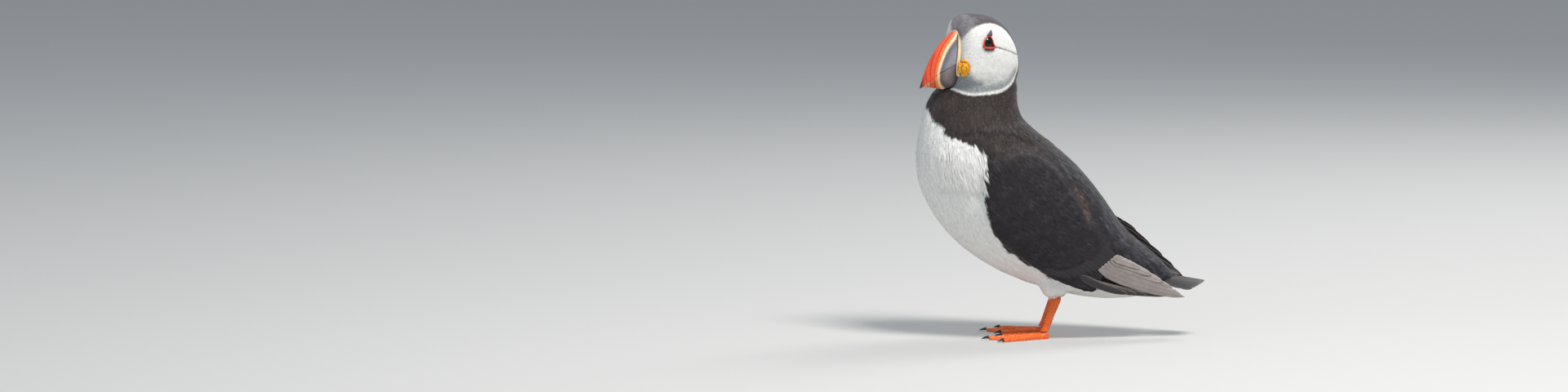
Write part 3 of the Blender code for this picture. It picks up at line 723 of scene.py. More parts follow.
def spread_map(mesh, along, around):
    """The bake's map: each feather a small patch at its root's place on the unrolled skin."""
    place = inset(np.column_stack((around, (along - along.min()) / max(np.ptp(along), 1e-6))))
    across = [ACROSS * spread for _, spread in ROWS] + [TIPS * 0.62]
    up = [np.full(len(ACROSS), share) for share, _ in ROWS] + [np.ones(len(TIPS))]
    patch = np.column_stack((np.concatenate(across), np.concatenate(up) * 2 - 1)) * PATCH / 2
    corners = (place[:, None, :] + patch[None]).reshape(-1, 2)
    set_map(mesh, corners[field_of(mesh.loops, "vertex_index")])


def unroll(mesh, along, around):
    """The bake's map of the skin: unrolled round the bird's long line."""
    order = field_of(mesh.loops, "vertex_index")
    corners = np.column_stack((around[order], along[order]))
    starts, totals = (field_of(mesh.polygons, field) for field in ("loop_start", "loop_total"))
    owner = np.repeat(np.arange(len(totals)), totals)
    top = np.maximum.reduceat(corners[:, 0], starts)
    low = np.minimum.reduceat(corners[:, 0], starts)
    seam = (top - low > 0.5)[owner] & (corners[:, 0] < 0.5)
    corners[:, 0] += seam
    corners[:, 0] /= 1.05
    set_map(mesh, inset(corners))


# ---------------------------------------------------------------- finishes

def new_group(name, inputs, outputs):
    """An empty shader node group with named inputs and outputs."""
    group = bpy.data.node_groups.new(name, "ShaderNodeTree")
    for label, kind, value in inputs:
        socket = group.interface.new_socket(label, in_out="INPUT", socket_type=kind)
        socket.default_value = value
    for label, kind in outputs:
        group.interface.new_socket(label, in_out="OUTPUT", socket_type=kind)
    return group, group.nodes.new("NodeGroupInput"), group.nodes.new("NodeGroupOutput")


def add_node(tree, kind, **settings):
    """A node with its settings; a setting that names a socket sets that socket's value."""
    node = tree.nodes.new(kind)
    for field, value in settings.items():
        if hasattr(node, field):
            setattr(node, field, value)
        else:
            node.inputs[field.replace("_", " ")].default_value = value
    return node


def mottle_group():
    """Fine uneven colour and relief for anything that grows: feather, horn or skin."""
    group, given, out = new_group(
        "Mottle",
        (("Colour", "NodeSocketColor", (1, 1, 1, 1)), ("Size", "NodeSocketFloat", 300.0),
         ("Amount", "NodeSocketFloat", 0.2)),
        (("Colour", "NodeSocketColor"), ("Height", "NodeSocketFloat"), ("Roughness", "NodeSocketFloat")))
    place = add_node(group, "ShaderNodeTexCoord")
    noise = add_node(group, "ShaderNodeTexNoise", Detail=3.0, Roughness=0.6)
    spread = add_node(group, "ShaderNodeMapRange", From_Min=0.3, From_Max=0.7)
    low = add_node(group, "ShaderNodeMath", operation="SUBTRACT", Value=1.0)
    high = add_node(group, "ShaderNodeMath", operation="ADD", Value=1.0)
    scaled = add_node(group, "ShaderNodeVectorMath", operation="SCALE")
    rough = add_node(group, "ShaderNodeMapRange", To_Min=0.85, To_Max=1.1)
    for source, output, target, socket in (
            (place, "Object", noise, "Vector"), (given, "Size", noise, "Scale"),
            (noise, "Fac", spread, "Value"), (given, "Amount", low, 1), (given, "Amount", high, 1),
            (low, 0, spread, "To Min"), (high, 0, spread, "To Max"), (given, "Colour", scaled, 0),
            (spread, "Result", scaled, "Scale"), (noise, "Fac", rough, "Value"),
            (scaled, "Vector", out, "Colour"), (noise, "Fac", out, "Height"),
            (rough, "Result", out, "Roughness")):
        group.links.new(source.outputs[output], target.inputs[socket])
    return group


MOTTLE = mottle_group()


class Finish:
    """A material under construction, with its shader and its mottle."""

    def __init__(self, name, roughness, size, amount, bump, **shader):
        self.material = bpy.data.materials.new(name)
        self.material.use_nodes = True
        self.tree = self.material.node_tree
        self.shader = self.tree.nodes["Principled BSDF"]
        for field, value in shader.items():
            self.shader.inputs[field.replace("_", " ")].default_value = value
        self.mottle = add_node(self.tree, "ShaderNodeGroup", node_tree=MOTTLE, Size=size, Amount=amount)
        rough = add_node(self.tree, "ShaderNodeMath", operation="MULTIPLY")
        rough.inputs[1].default_value = roughness
        self.bump = add_node(self.tree, "ShaderNodeBump", Strength=0.6, Distance=bump * MM)
        self.join(self.mottle.outputs["Colour"], self.shader.inputs["Base Color"])
        self.join(self.mottle.outputs["Roughness"], rough.inputs[0])
        self.join(rough.outputs[0], self.shader.inputs["Roughness"])
        self.join(self.mottle.outputs["Height"], self.bump.inputs["Height"])
        self.join(self.bump.outputs["Normal"], self.shader.inputs["Normal"])

    def join(self, output, socket):
        """Links two sockets."""
        self.tree.links.new(output, socket)

    def field(self, name):
        """A node that reads one of the piece's own attributes."""
        return add_node(self.tree, "ShaderNodeAttribute", attribute_name=name)

    def colour(self, output):
        """Uses an output as the colour under the mottle."""
        self.join(output, self.mottle.inputs["Colour"])

    def ramp(self, output, stops):
        """A colour ramp from hexadecimal stops, read at an output."""
        node = self.tree.nodes.new("ShaderNodeValToRGB")
        band = node.color_ramp
        while len(band.elements) > 1:
            band.elements.remove(band.elements[-1])
        for number, (place, code) in enumerate(stops):
            stop = band.elements[0] if number == 0 else band.elements.new(place)
            stop.position = place
            stop.color = (*linear(code), 1.0)
        self.join(output, node.inputs["Fac"])
        return node.outputs["Color"]

    def over(self, share, under, top):
        """Mixes a colour over another by a share."""
        node = add_node(self.tree, "ShaderNodeMix", data_type="RGBA")
        self.join(share, node.inputs["Factor"])
        self.join(under, node.inputs[6])
        if isinstance(top, str):
            node.inputs[7].default_value = (*linear(top), 1.0)
        else:
            self.join(top, node.inputs[7])
        return node.outputs[2]


def feather_finish(name, roughness, size, amount, bump, **shader):
    """Plumage that takes its colour from the piece's own markings."""
    finish = Finish(name, roughness, size, amount, bump, **shader)
    finish.colour(finish.field("coat").outputs["Color"])
    return finish.material


PLUMAGE = feather_finish("plumage", 0.66, 900.0, 0.06, 0.03, Sheen_Weight=0.2, Sheen_Roughness=0.45,
                         Specular_IOR_Level=0.3)
UNDERCOAT = feather_finish("undercoat", 0.8, 500.0, 0.18, 0.12, Specular_IOR_Level=0.2)


def vane_finish():
    """Long stiff feathers, with barbs slanting out from the shaft."""
    finish = Finish("flight_vane", 0.5, 260.0, 0.14, 0.05, Sheen_Weight=0.15, Specular_IOR_Level=0.4)
    barbs = finish.field("barb").outputs["Fac"]
    wave = add_node(finish.tree, "ShaderNodeMath", operation="SINE")
    share = add_node(finish.tree, "ShaderNodeMapRange", From_Min=-1.0, To_Min=0.86, To_Max=1.06)
    lit = add_node(finish.tree, "ShaderNodeVectorMath", operation="SCALE")
    finish.join(barbs, wave.inputs[0])
    finish.join(wave.outputs[0], share.inputs["Value"])
    finish.join(finish.field("coat").outputs["Color"], lit.inputs[0])
    finish.join(share.outputs["Result"], lit.inputs["Scale"])
    finish.colour(lit.outputs["Vector"])
    finish.join(share.outputs["Result"], finish.bump.inputs["Height"])
    return finish.material


VANE = vane_finish()


# ---------------------------------------------------------------- skin and coat

# painted shade: the skin takes the plumage's markings darkened to 0.8, for the shade under the feathers
set_colours(SKIN_MESH, "coat", markings(SKIN.points, SKIN_REGIONS) * 0.8)
unroll(SKIN_MESH, SKIN_ALONG, SKIN_AROUND)
add_piece("skin", SKIN_MESH, UNDERCOAT, FLESH)

BARE_FROM = -25.6                                # in front of this the head is under the bill's root
WHITE_OVER = 1.5                                 # white feathers are rooted this far above their line
IS_HEAD = FACE_REGIONS == HEAD
HEAD_LOCAL = head_place(FACE_MIDDLES)
BARE = IS_HEAD & (HEAD_LOCAL[:, 1] < BARE_FROM)
SIDE_Y = FACE_MIDDLES[:, 1] / MM
SIDE_Z = FACE_MIDDLES[:, 2] / MM
IS_TRUNK = FACE_REGIONS == TRUNK
UNDER = SIDE_Z < read_line(BODY_LINE, SIDE_Y) + WHITE_OVER


def shaggy(places):
    """Where the white breast feathers hang long and loose over the wing's front edge."""
    along, above = places[:, 1] / MM, places[:, 2] / MM
    near = blend_step(-90.0, -80.0, along) * blend_step(-44.0, -52.0, along)
    return near * blend_step(106.0, 116.0, above) * blend_step(142.0, 134.0, above)


def breast_length(places):
    """Short on the breast, longer towards the vent, longest beside the wing."""
    return 7.0 + 2.5 * blend_step(-60.0, 20.0, places[:, 1] / MM) + 6.5 * shaggy(places)


def breast_width(places):
    """Narrow strands where it hangs loose."""
    return 1.7 - 0.6 * shaggy(places)


def breast_rise(places):
    """How far breast feathers stand out at their ends."""
    return 0.4 + 1.5 * shaggy(places)


def shoulder_edge(places):
    """1 where the long shoulder feathers end over the wing."""
    along, above = side_place(places)
    line = read_line(SHOULDER_LINE, along) + far_lift(along) * (places[:, 0] < 0)
    return np.exp(-((above - line - 3.5) / 4.0) ** 2) * (np.abs(places[:, 0]) > 8.0 * MM)


def back_length(places):
    """Shorter towards the collar, longest at the shoulder's edge."""
    return 6.0 + 2.0 * blend_step(-60.0, -20.0, places[:, 1] / MM) + 3.0 * shoulder_edge(places)


def scruffy(places):
    """How ragged the feathers of the back lie."""
    return 0.3 + 0.3 * blend_step(0.0, 1.0, waves(places, 16.0, 51)) + 0.6 * shoulder_edge(places)


def face_length(places):
    """Tiny by the bill and eye, a little longer on the cheek and nape."""
    return 2.3 + 1.3 * blend_step(-20.0, 8.0, head_place(places)[:, 1])


def collar_length(places):
    """As short as on the face below the cheek, longer down the neck."""
    return 3.4 + 2.4 * blend_step(171.0, 160.0, head_place(places)[:, 2])


LEFT_HALF = FACE_MIDDLES[:, 0] > 0
LEFT_FACE = HEAD_LOCAL[:, 0] > 0
IS_WING = FACE_REGIONS == WING
FACE = {"spacing": 0.68, "length": face_length, "width": 1.05, "rise": 0.14, "sway": 0.08,
        "crisp": 0.95, "ragged": 0.9}
BREAST = {"spacing": 1.1, "length": breast_length, "width": breast_width, "rise": breast_rise,
          "sway": 0.17, "crisp": 0.55, "ragged": 1.3}
OVERCOAT = {"spacing": 1.08, "width": 1.8, "sway": 0.16, "crisp": 0.4, "ragged": 1.2}
make_coat("coat_face_left", "plumage_white", np.flatnonzero(IS_HEAD & ~BARE & LEFT_FACE), **FACE)
make_coat("coat_face_right", "plumage_white", np.flatnonzero(IS_HEAD & ~BARE & ~LEFT_FACE), **FACE)
make_coat("coat_collar", "plumage_collar", np.flatnonzero(FACE_REGIONS == NECK), spacing=0.9,
          length=collar_length, width=1.3, rise=0.3, sway=0.13, crisp=0.95)
make_coat("coat_breast_left", "plumage_white", np.flatnonzero(IS_TRUNK & UNDER & LEFT_HALF), **BREAST)
make_coat("coat_breast_right", "plumage_white", np.flatnonzero(IS_TRUNK & UNDER & ~LEFT_HALF), **BREAST)
make_coat("coat_back", "plumage_black", np.flatnonzero(IS_TRUNK & ~UNDER), length=back_length,
          rise=scruffy, **OVERCOAT)
for word, half in (("left", LEFT_HALF), ("right", ~LEFT_HALF)):
    make_coat("coat_wing_" + word, "plumage_black", np.flatnonzero(IS_WING & half), length=8.2,
              rise=0.4, **OVERCOAT)
make_coat("coat_thighs", "plumage_white", np.flatnonzero(FACE_REGIONS == THIGH), spacing=1.1, length=5.0,
          width=1.7, rise=0.4, sway=0.2)


# ---------------------------------------------------------------- long feathers

VANE_COLUMNS = 8
VANE_THICK = 0.22
SHAFT_HIGH, SHAFT_WIDE = 0.16, 0.12              # in millimetres, and as a share of half the width
NICKED = 0.82                                    # a row's edge is nicked where its chance is above this
BARB_RATE = 7.0                                  # how closely the barbs lie


def bezier(points, count):
    """Points along a curve drawn towards its middle control points."""
    points = np.asarray(points, dtype=float)
    t = np.linspace(0, 1, count)[:, None]
    level = [np.repeat(point[None], count, axis=0) for point in points]
    while len(level) > 1:
        level = [a * (1 - t) + b * t for a, b in zip(level, level[1:])]
    return level[0]


def add_vane(whole, spine, facings, width, colour, edge, lean=0.15, arch=0.12, blunt=3.0, sink=0.0):
    """Adds one long feather: a thin closed vane with a raised shaft, laid along a spine."""
    rows = len(spine) - 1
    part = bmesh.new()
    colour_layer = part.verts.layers.float_color.new("coat")
    barb_layer = part.verts.layers.float.new("barb")
    made = bmesh.ops.create_grid(part, x_segments=VANE_COLUMNS, y_segments=rows, size=1.0)
    headings = unit(np.gradient(spine, axis=0))
    length = np.linalg.norm(np.diff(spine, axis=0), axis=1).sum()
    tint = CHANCE.uniform(0.92, 1.08)
    nicks = CHANCE.uniform(0.0, 1.0, (rows + 1, 2))
    for vertex in made["verts"]:
        across = vertex.co.x
        row = int(round((vertex.co.y + 1) / 2 * rows))
        share = row / rows
        normal = unit(facings[row] - headings[row] * facings[row].dot(headings[row]))
        aside = np.cross(normal, headings[row])
        spread = min(1.0, (0.25 + share / 0.18)) * max(1 - share ** (2 * blunt), 0.0) ** 0.5
        side = 0 if across < 0 else 1
        nick = 1 - 0.12 * (nicks[row, side] > NICKED) * (abs(across) > 0.9)
        reach = across * width / 2 * spread * (1 + lean * (-1 if across < 0 else 1)) * nick
        shaft = SHAFT_HIGH * math.exp(-(across / SHAFT_WIDE) ** 2) * (1 - 0.7 * share)
        height = shaft - arch * width / 2 * across ** 2 * spread
        place = spine[row] + aside * reach + normal * (height - sink * (1 - blend_step(0.1, 0.85, share)))
        vertex.co = Vector(place * MM)
        rim = blend_step(0.72, 0.98, abs(across) + 0.35 * blend_step(0.8, 1.0, share))
        told = colour + (edge - colour) * float(rim) * 0.7
        told = told * tint * (1.0 - 0.25 * math.exp(-(across / 0.14) ** 2))
        vertex[colour_layer] = (*told, 1.0)
        vertex[barb_layer] = (share * length - abs(across) * width * 0.9) * BARB_RATE
    part.normal_update()
    bmesh.ops.solidify(part, geom=part.faces[:], thickness=VANE_THICK * MM)
    bmesh.ops.remove_doubles(part, verts=part.verts, dist=0.02 * MM)
    bmesh.ops.recalc_face_normals(part, faces=part.faces)
    # painted shade: the vane's inner side, facing away from its outer face, is coloured dark quill as it
    # lies in shade
    for vertex in part.verts:
        if np.dot(vertex.normal, facings.mean(axis=0)) < 0:
            vertex[colour_layer] = (*DARK_QUILL, 1.0)
    take_in(whole, part)


class WingSide:
    """The outer face of a folded wing, asked by place along the bird and height."""

    def __init__(self, word, side):
        mesh = merged_copy(("wing_" + word, "primaries_" + word))
        bm = bmesh.new()
        bm.from_mesh(mesh)
        self.tree = BVHTree.FromBMesh(bm)
        bm.free()
        bpy.data.meshes.remove(mesh)
        self.side = side

    def lay(self, flat, proud):
        """Places and facings on the wing for points along and above, standing proud of it."""
        flat = np.array(flat, dtype=float)
        if self.side < 0:
            push = 3.5 * np.clip((flat[:, 0] - 40.0) / 47.0, 0.0, 1.0)
            flat[:, 1] += far_lift(flat[:, 0]) - 4.5 * blend_step(28.0, 60.0, flat[:, 0])
            flat[:, 0] += push
        places, facings = [], []
        for along, above in flat:
            start = Vector((self.side * 90.0, along + BODY_SHIFT, above)) * MM
            spot, normal, _, _ = self.tree.ray_cast(start, Vector((-self.side, 0.0, 0.0)))
            if spot is None:
                guess = places[-1] if places else start / MM
                guess = Vector((guess[0], along + BODY_SHIFT, above)) * MM
                spot, normal, _, _ = self.tree.find_nearest(guess)
                spot = Vector((spot.x, guess.y, guess.z))
                normal = Vector((self.side, 0.0, 0.0)) if not facings else Vector(facings[-1])
            places.append(np.array(spot) / MM)
            facings.append(np.array(normal))
        places = np.array(places)
        facings = np.array(facings)
        for _ in range(4):
            places[1:-1, 0] = (places[:-2, 0] + 2 * places[1:-1, 0] + places[2:, 0]) / 4
            facings[1:-1] = unit(facings[:-2] + facings[1:-1] + facings[2:])
        calm = unit(facings * 0.5 + facings.mean(axis=0) * 0.5)
        return places + calm * proud, calm


# Spines of the wing's long feathers: root, control point, tip, width, how proud it lies
UPPER_QUILLS = tuple(
    ((36.0 - 2.0 * k, 57.5 - 1.5 * k), control, tip, wide, 0.35 - 0.16 * k)
    for k, (control, tip, wide) in enumerate((
        ((44.0, 54.5), (55.0, 49.5), 6.0),
        ((46.0, 52.0), (63.5, 44.6), 6.4),
        ((47.0, 49.0), (71.5, 39.6), 6.6),
        ((47.0, 45.0), (78.5, 35.0), 6.6),
        ((47.0, 40.5), (83.5, 31.2), 6.4),
        ((46.0, 36.0), (87.0, 28.6), 6.2))))
LOWER_QUILLS = tuple(
    ((13.0 + 1.5 * k, 45.5 - 1.0 * k), (26.0 + 2.0 * k, 35.5 - 0.5 * k), (47.0 + 7.0 * k, 31.6 - 0.7 * k),
     5.2, -0.5 - 0.2 * k)
    for k in range(5))
ARM_TIPS = smooth_rows(((38.5, 59.0), (36.0, 55.4), (31.0, 51.6), (24.5, 48.6), (16.0, 45.4),
                        (6.0, 43.6), (-4.0, 45.5)), 17)
ARM_QUILLS = tuple(
    ((tip[0] - 24.0, tip[1] + 15.0), (tip[0] - 10.0, tip[1] + 5.0), tuple(tip), 4.4, -0.25 - 0.02 * k)
    for k, tip in enumerate(ARM_TIPS))


def lay_quills(whole, wing, quills, steps, colour, edge, widen=1.0, **shape):
    """Lays a row of long feathers on a wing, from the lowest up so that each overlaps the last."""
    for root, control, tip, width, proud in reversed(quills):
        spine, facings = wing.lay(bezier((root, control, tip), steps), proud)
        add_vane(whole, spine, facings, width * widen, colour, edge, **shape)


def make_wing_vanes(word, side):
    """The long feathers of one folded wing."""
    wing = WingSide(word, side)
    hand, arm = bmesh.new(), bmesh.new()
    lay_quills(hand, wing, LOWER_QUILLS, 19, DARK_QUILL, QUILL_EDGE)
    lay_quills(hand, wing, UPPER_QUILLS, 21, PALE_QUILL, PALE_QUILL * 1.3, 1.0 if side > 0 else 1.3)
    lay_quills(arm, wing, ARM_QUILLS, 17, WING_BLACK, WING_BLACK * 1.5, blunt=1.3, sink=2.0)
    add_piece("long_quills_" + word, mesh_of(hand, "primaries"), VANE, ("primaries_" + word,))
    add_piece("arm_quills_" + word, mesh_of(arm, "secondaries"), VANE)


TAIL_PAIRS, TAIL_WIDTH = 8, 8.4


def make_tail():
    """The short tail feathers in pairs, fanned and arched, the middle pair on top."""
    whole = bmesh.new()
    for pair in reversed(range(TAIL_PAIRS)):
        for side in (-1, 1):
            off = pair + 0.5
            fan = side * off
            tip_y = 101.5 - 0.17 * off ** 2
            spine = bezier(((fan * 0.9, 60.0, 44.5 - 0.06 * off ** 2),
                            (fan * 1.4, 82.0, 42.6 - 0.06 * off ** 2 - 0.10 * pair),
                            (fan * 1.95, tip_y, 38.8 - 0.065 * off ** 2 - 0.12 * pair)), 15)
            spine[:, 1] += BODY_SHIFT
            facings = np.tile(unit(np.array((0.10 * fan, 0.12, 1.0))), (len(spine), 1))
            add_vane(whole, spine, facings, TAIL_WIDTH, BLACK, TAIL_TIP, lean=0.1 * side, blunt=2.4)
    add_piece("tail_quills", mesh_of(whole, "tail"), VANE, ("tail",))


for word, side in SIDES:
    make_wing_vanes(word, side)
make_tail()


# ---------------------------------------------------------------- the bill

BILL = smooth_rows(BILL_ROWS, 161)[::-1]         # read finely, from its tip to its root
BILL_MIDDLE = (0.0, -38.0, 188.0)


def bill_at(along):
    """Ridge, gape, lower edge and half width of the bill at a distance along the head."""
    return [np.interp(along, BILL[:, 0], BILL[:, column]) for column in range(1, 5)]


def loft(rings, closed=False):
    """A closed body through rings of points; a closed loft meets its own start."""
    bm = bmesh.new()
    loops = []
    for ring in rings:
        made = bmesh.ops.create_circle(bm, segments=len(ring), radius=1.0)
        for vertex, point in zip(made["verts"], ring):
            vertex.co = point
        loops.append(list({edge for vertex in made["verts"] for edge in vertex.link_edges}))
    for first, second in zip(loops, loops[1:] + (loops[:1] if closed else [])):
        bmesh.ops.bridge_loops(bm, edges=first + second)
    for end in () if closed else (loops[0], loops[-1]):
        bmesh.ops.contextual_create(bm, geom=end)
    bmesh.ops.recalc_face_normals(bm, faces=bm.faces)
    return bm


def mandible(section, start, end, steps, upper):
    """One half of the bill as a fine closed body; its ridges and grooves are raised afterwards by
    carve_bill.
    """
    shape = smooth_rows(section, 49)
    rings = []
    for along in start + (end - start) * np.linspace(0, 1, steps) ** 0.85:
        ridge, gape, edge, half = bill_at(along)
        low, high = (gape + 0.12, ridge) if upper else (gape - 0.12, edge)
        left = [(share * half, along, low + (high - low) * way) for share, way in shape]
        ring = left + [(0.0, along, high)] + [(-x, y, z) for x, y, z in reversed(left)]
        rings.append([head_point(*point) for point in ring])
    bm = loft(rings)
    middle = head_point(*BILL_MIDDLE)
    if sum(face.calc_area() * face.normal.dot(face.calc_center_median() - middle) for face in bm.faces) < 0:
        bmesh.ops.reverse_faces(bm, faces=bm.faces)
    return mesh_of(bm, "mandible")


RIDGE = smooth_rows(np.array(RIDGE_LINE)[:, ::-1], 120)
GROOVES = ((2.9, 0.22), (5.4, 0.34), (8.2, 0.26))   # how far ahead of the ridge each lies, how deep
REACH_BACK, REACH_SPAN = 14.0, 30.0              # the stretch that the horn's colour ramp covers


def ridge_reach(local):
    """How far ahead of the second ridge a place on the bill lies, square to the ridge."""
    gaps = np.linalg.norm(local[:, None, 1:] - RIDGE[None, :, :], axis=2)
    ahead = read_line(RIDGE[:, ::-1], local[:, 2]) > local[:, 1]
    return gaps.min(axis=1) * np.where(ahead, 1.0, -1.0)


def carve_bill(mesh, upper):
    """Raises the pale ridge and cuts the grooves, and tells the finish where each lies."""
    points, normals = places_of(mesh), normals_of(mesh)
    local = head_place(points)
    reach = ridge_reach(local)
    ridge, gape, lower, _ = bill_at(local[:, 1])
    height = (local[:, 2] - gape) / np.maximum(ridge - gape, 1.0) if upper \
        else (gape - local[:, 2]) / np.maximum(gape - lower, 1.0)
    grooves = np.zeros(len(points))
    for spot, depth in GROOVES:
        grooves += depth * np.exp(-((reach - spot) / 0.38) ** 2) * blend_step(0.02, 0.2, height)
    side = blend_step(0.3, 1.4, np.abs(local[:, 0]))
    growth = 0.04 * waves(points * np.array((1.0, 1.0, 0.3)), 2.6, 61)
    relief = 0.34 * np.exp(-(reach / 0.6) ** 2) - grooves * side + growth * side
    set_places(mesh, points + normals * (relief - 0.1)[:, None] * MM)
    set_values(mesh, "reach", reach_stop(reach + 0.05 * waves(points, 3.0, 62)))
    set_values(mesh, "groove", np.clip(grooves * side * 2.4, 0.0, 1.0))
    set_values(mesh, "high", np.clip(height, 0.0, 1.0))
    set_values(mesh, "tip", blend_step(-47.9, -50.2, local[:, 1]))


def reach_stop(value):
    """A distance ahead of the second ridge as a place on the colour ramp."""
    return (value + REACH_BACK) / REACH_SPAN


def horn_finish(name, stops, high_stops, high_colour, tip_colour):
    """Horn with colours that change across its ridges."""
    finish = Finish(name, 0.42, 700.0, 0.12, 0.10, Coat_Weight=0.12, Coat_Roughness=0.3,
                    Specular_IOR_Level=0.45)
    colour = finish.ramp(finish.field("reach").outputs["Fac"],
                         [(reach_stop(place), code) for place, code in stops])
    colour = finish.over(finish.field("groove").outputs["Fac"], colour, "a32a17")
    share = finish.ramp(finish.field("high").outputs["Fac"], high_stops)
    colour = finish.over(share, colour, high_colour)
    colour = finish.over(finish.field("tip").outputs["Fac"], colour, tip_colour)
    finish.colour(colour)
    return finish.material


UPPER_HORN = horn_finish(
    "upper_horn",
    ((-13.0, "a9a8b2"), (-5.0, "8c8b95"), (-1.7, "63616b"), (-0.9, "a79f96"), (-0.6, "f4dcb6"),
     (0.6, "f6dfb4"), (0.9, "f09a58"), (1.2, "e4532a"), (1.7, "f08a50"), (2.2, "ee6034"),
     (6.0, "e8502a"), (12.0, "dc4526")),
    ((0.0, "a0a0a0"), (0.035, "000000"), (1.0, "000000")), "2e2224", "4d2a24")
LOWER_HORN = horn_finish(
    "lower_horn",
    ((-13.0, "6b605f"), (-6.0, "87797a"), (-1.8, "5f5453"), (-1.0, "cfae86"), (-0.6, "f4d6a0"),
     (0.6, "f3c98e"), (1.0, "ea7434"), (1.7, "f0a070"), (2.3, "ea5f2c"), (5.0, "ee6c3c"),
     (7.0, "ee9a78"), (12.0, "e8b49c")),
    ((0.0, "a0a0a0"), (0.04, "000000"), (1.0, "000000")), "3a2a2a", "b98a72")

for name, node, section, start, end, horn, upper in (
        ("bill_top", "bill_upper", UPPER_SECTION, -25.4, -50.55, UPPER_HORN, True),
        ("bill_bottom", "bill_lower", LOWER_SECTION, -22.0, -49.1, LOWER_HORN, False)):
    half_bill = mandible(section, start, end, 150, upper)
    carve_bill(half_bill, upper)
    add_piece(name, half_bill, horn, (node,))


def plain_finish(name, code, dark, roughness, size, amount, bump, **shader):
    """A growing finish of one colour, darker where the piece says it is shut in: painted shade in its
    folds, creases, pores and hollows, and on the claws a darker grain.
    """
    finish = Finish(name, roughness, size, amount, bump, **shader)
    base = finish.ramp(finish.field("depth").outputs["Fac"], ((0.0, code), (1.0, dark)))
    finish.colour(base)
    return finish.material


CERE = plain_finish("cere", "f3d9b0", "c9a878", 0.5, 800.0, 0.10, 0.10, Specular_IOR_Level=0.4)
ROSETTE = plain_finish("gape_fold", "f6a81a", "b04f08", 0.45, 600.0, 0.14, 0.12,
                       Subsurface_Weight=0.1, Specular_IOR_Level=0.45)
RING = plain_finish("eye_rim", "cf4134", "7c1a18", 0.42, 900.0, 0.12, 0.08,
                    Subsurface_Weight=0.1, Specular_IOR_Level=0.5)
PLATE = plain_finish("eye_plate", "5e5057", "2c2327", 0.5, 900.0, 0.16, 0.08, Specular_IOR_Level=0.4)
BED = plain_finish("eye_bed", "1d1414", "120b0b", 0.4, 900.0, 0.12, 0.04, Specular_IOR_Level=0.4)
LEG = plain_finish("leg_skin", "ee6a28", "c04c18", 0.45, 500.0, 0.12, 0.12,
                   Subsurface_Weight=0.06, Specular_IOR_Level=0.45)
CLAW = plain_finish("claw", "2a2423", "171314", 0.32, 700.0, 0.12, 0.05, Coat_Weight=0.2)


def with_relief(mesh, relief):
    """Raises and sinks a mesh by a function and marks its folds for the finish to darken, mostly as painted
    shade where the relief sinks.
    """
    points, normals = places_of(mesh), normals_of(mesh)
    rise, depth = relief(points, normals)
    set_places(mesh, points + normals * rise[:, None] * MM)
    set_values(mesh, "depth", np.clip(depth, 0.0, 1.0))
    return mesh


def shaped(name, node, voxel, rounds, relief, finish):
    """A fine copy of a CAD node with relief on it."""
    mesh = evened(merged_copy((node,)), voxel, rounds)
    add_piece(name, with_relief(mesh, relief), finish, (node,))


def tube(path, facings, across, radii, flat, closed=False):
    """A soft band along a path: rings of a width across it and a share of that in thickness."""
    path, facings = np.asarray(path, dtype=float), unit(np.asarray(facings, dtype=float))
    ahead = np.roll(path, -1, axis=0) - np.roll(path, 1, axis=0)
    if not closed:
        ahead = np.gradient(path, axis=0)
    sideways = unit(np.cross(unit(ahead), facings))
    turns = np.linspace(0, 2 * math.pi, across, endpoint=False)
    rings = []
    for spot, out, aside, radius in zip(path, facings, sideways, radii):
        rings.append([Vector((spot + (aside * math.cos(turn) + out * math.sin(turn) * flat) * radius)
                             * MM) for turn in turns])
    return loft(rings, closed)


def finished(bm, relief):
    """A mesh from a bmesh with fine relief on it."""
    bmesh.ops.recalc_face_normals(bm, faces=bm.faces)
    return with_relief(mesh_of(bm, "piece"), relief)


def bill_side(along, above):
    """Half the bill's width at a place told along and above."""
    ridge, gape, edge, half = bill_at(along)
    section, high = (UPPER_SECTION, ridge) if above > gape else (LOWER_SECTION, edge)
    way = min(max((above - gape) / (high - gape), 0.0), 1.0)
    return half * read_line(np.array(section)[:, ::-1], way)


def cere_path():
    """The line of the cere over the root of the bill, from one gape to the other."""
    side = smooth_rows(CERE_SIDE, 40)
    left = [(bill_side(CERE_ROOT, above) * 1.07 + 0.25 + stand, along, above)
            for along, above, stand in side]
    top = (0.0, CERE_SIDE[0][0] - 0.1, bill_at(CERE_ROOT)[0] + 0.55)
    whole = [(-x, y, z) for x, y, z in reversed(left)] + [top] + left
    places = np.array([head_point(*point) for point in whole]) / MM
    for _ in range(3):
        places[1:-1] = (places[:-2] + 2 * places[1:-1] + places[2:]) / 4
    middle = np.array([head_point(0.0, along, min(max(above, 188.0), 204.0)) for _, along, above in whole])
    return places, unit(places - middle / MM)


def cere_relief(points, normals):
    """A rounded fleshy band, pricked all over with small pores, with painted shade in them."""
    pores = np.abs(waves(points, 0.9, 21))
    return 0.07 * pores, blend_step(0.35, 0.0, pores) * 0.35


def add_cere():
    """The pale fleshy band that frames the root of the bill."""
    places, facings = cere_path()
    share = np.abs(np.linspace(-1, 1, len(places)))
    radii = 1.45 + 0.75 * np.exp(-((share - 0.2) / 0.17) ** 2) - 0.5 * blend_step(0.94, 1.0, share)
    band = tube(places, facings, 20, radii, 0.62)
    add_piece("cere_band", finished(band, cere_relief), CERE, ("bill_cere",))


EYE_BULGE = 5.4                                  # the face bulges out this far round the eye


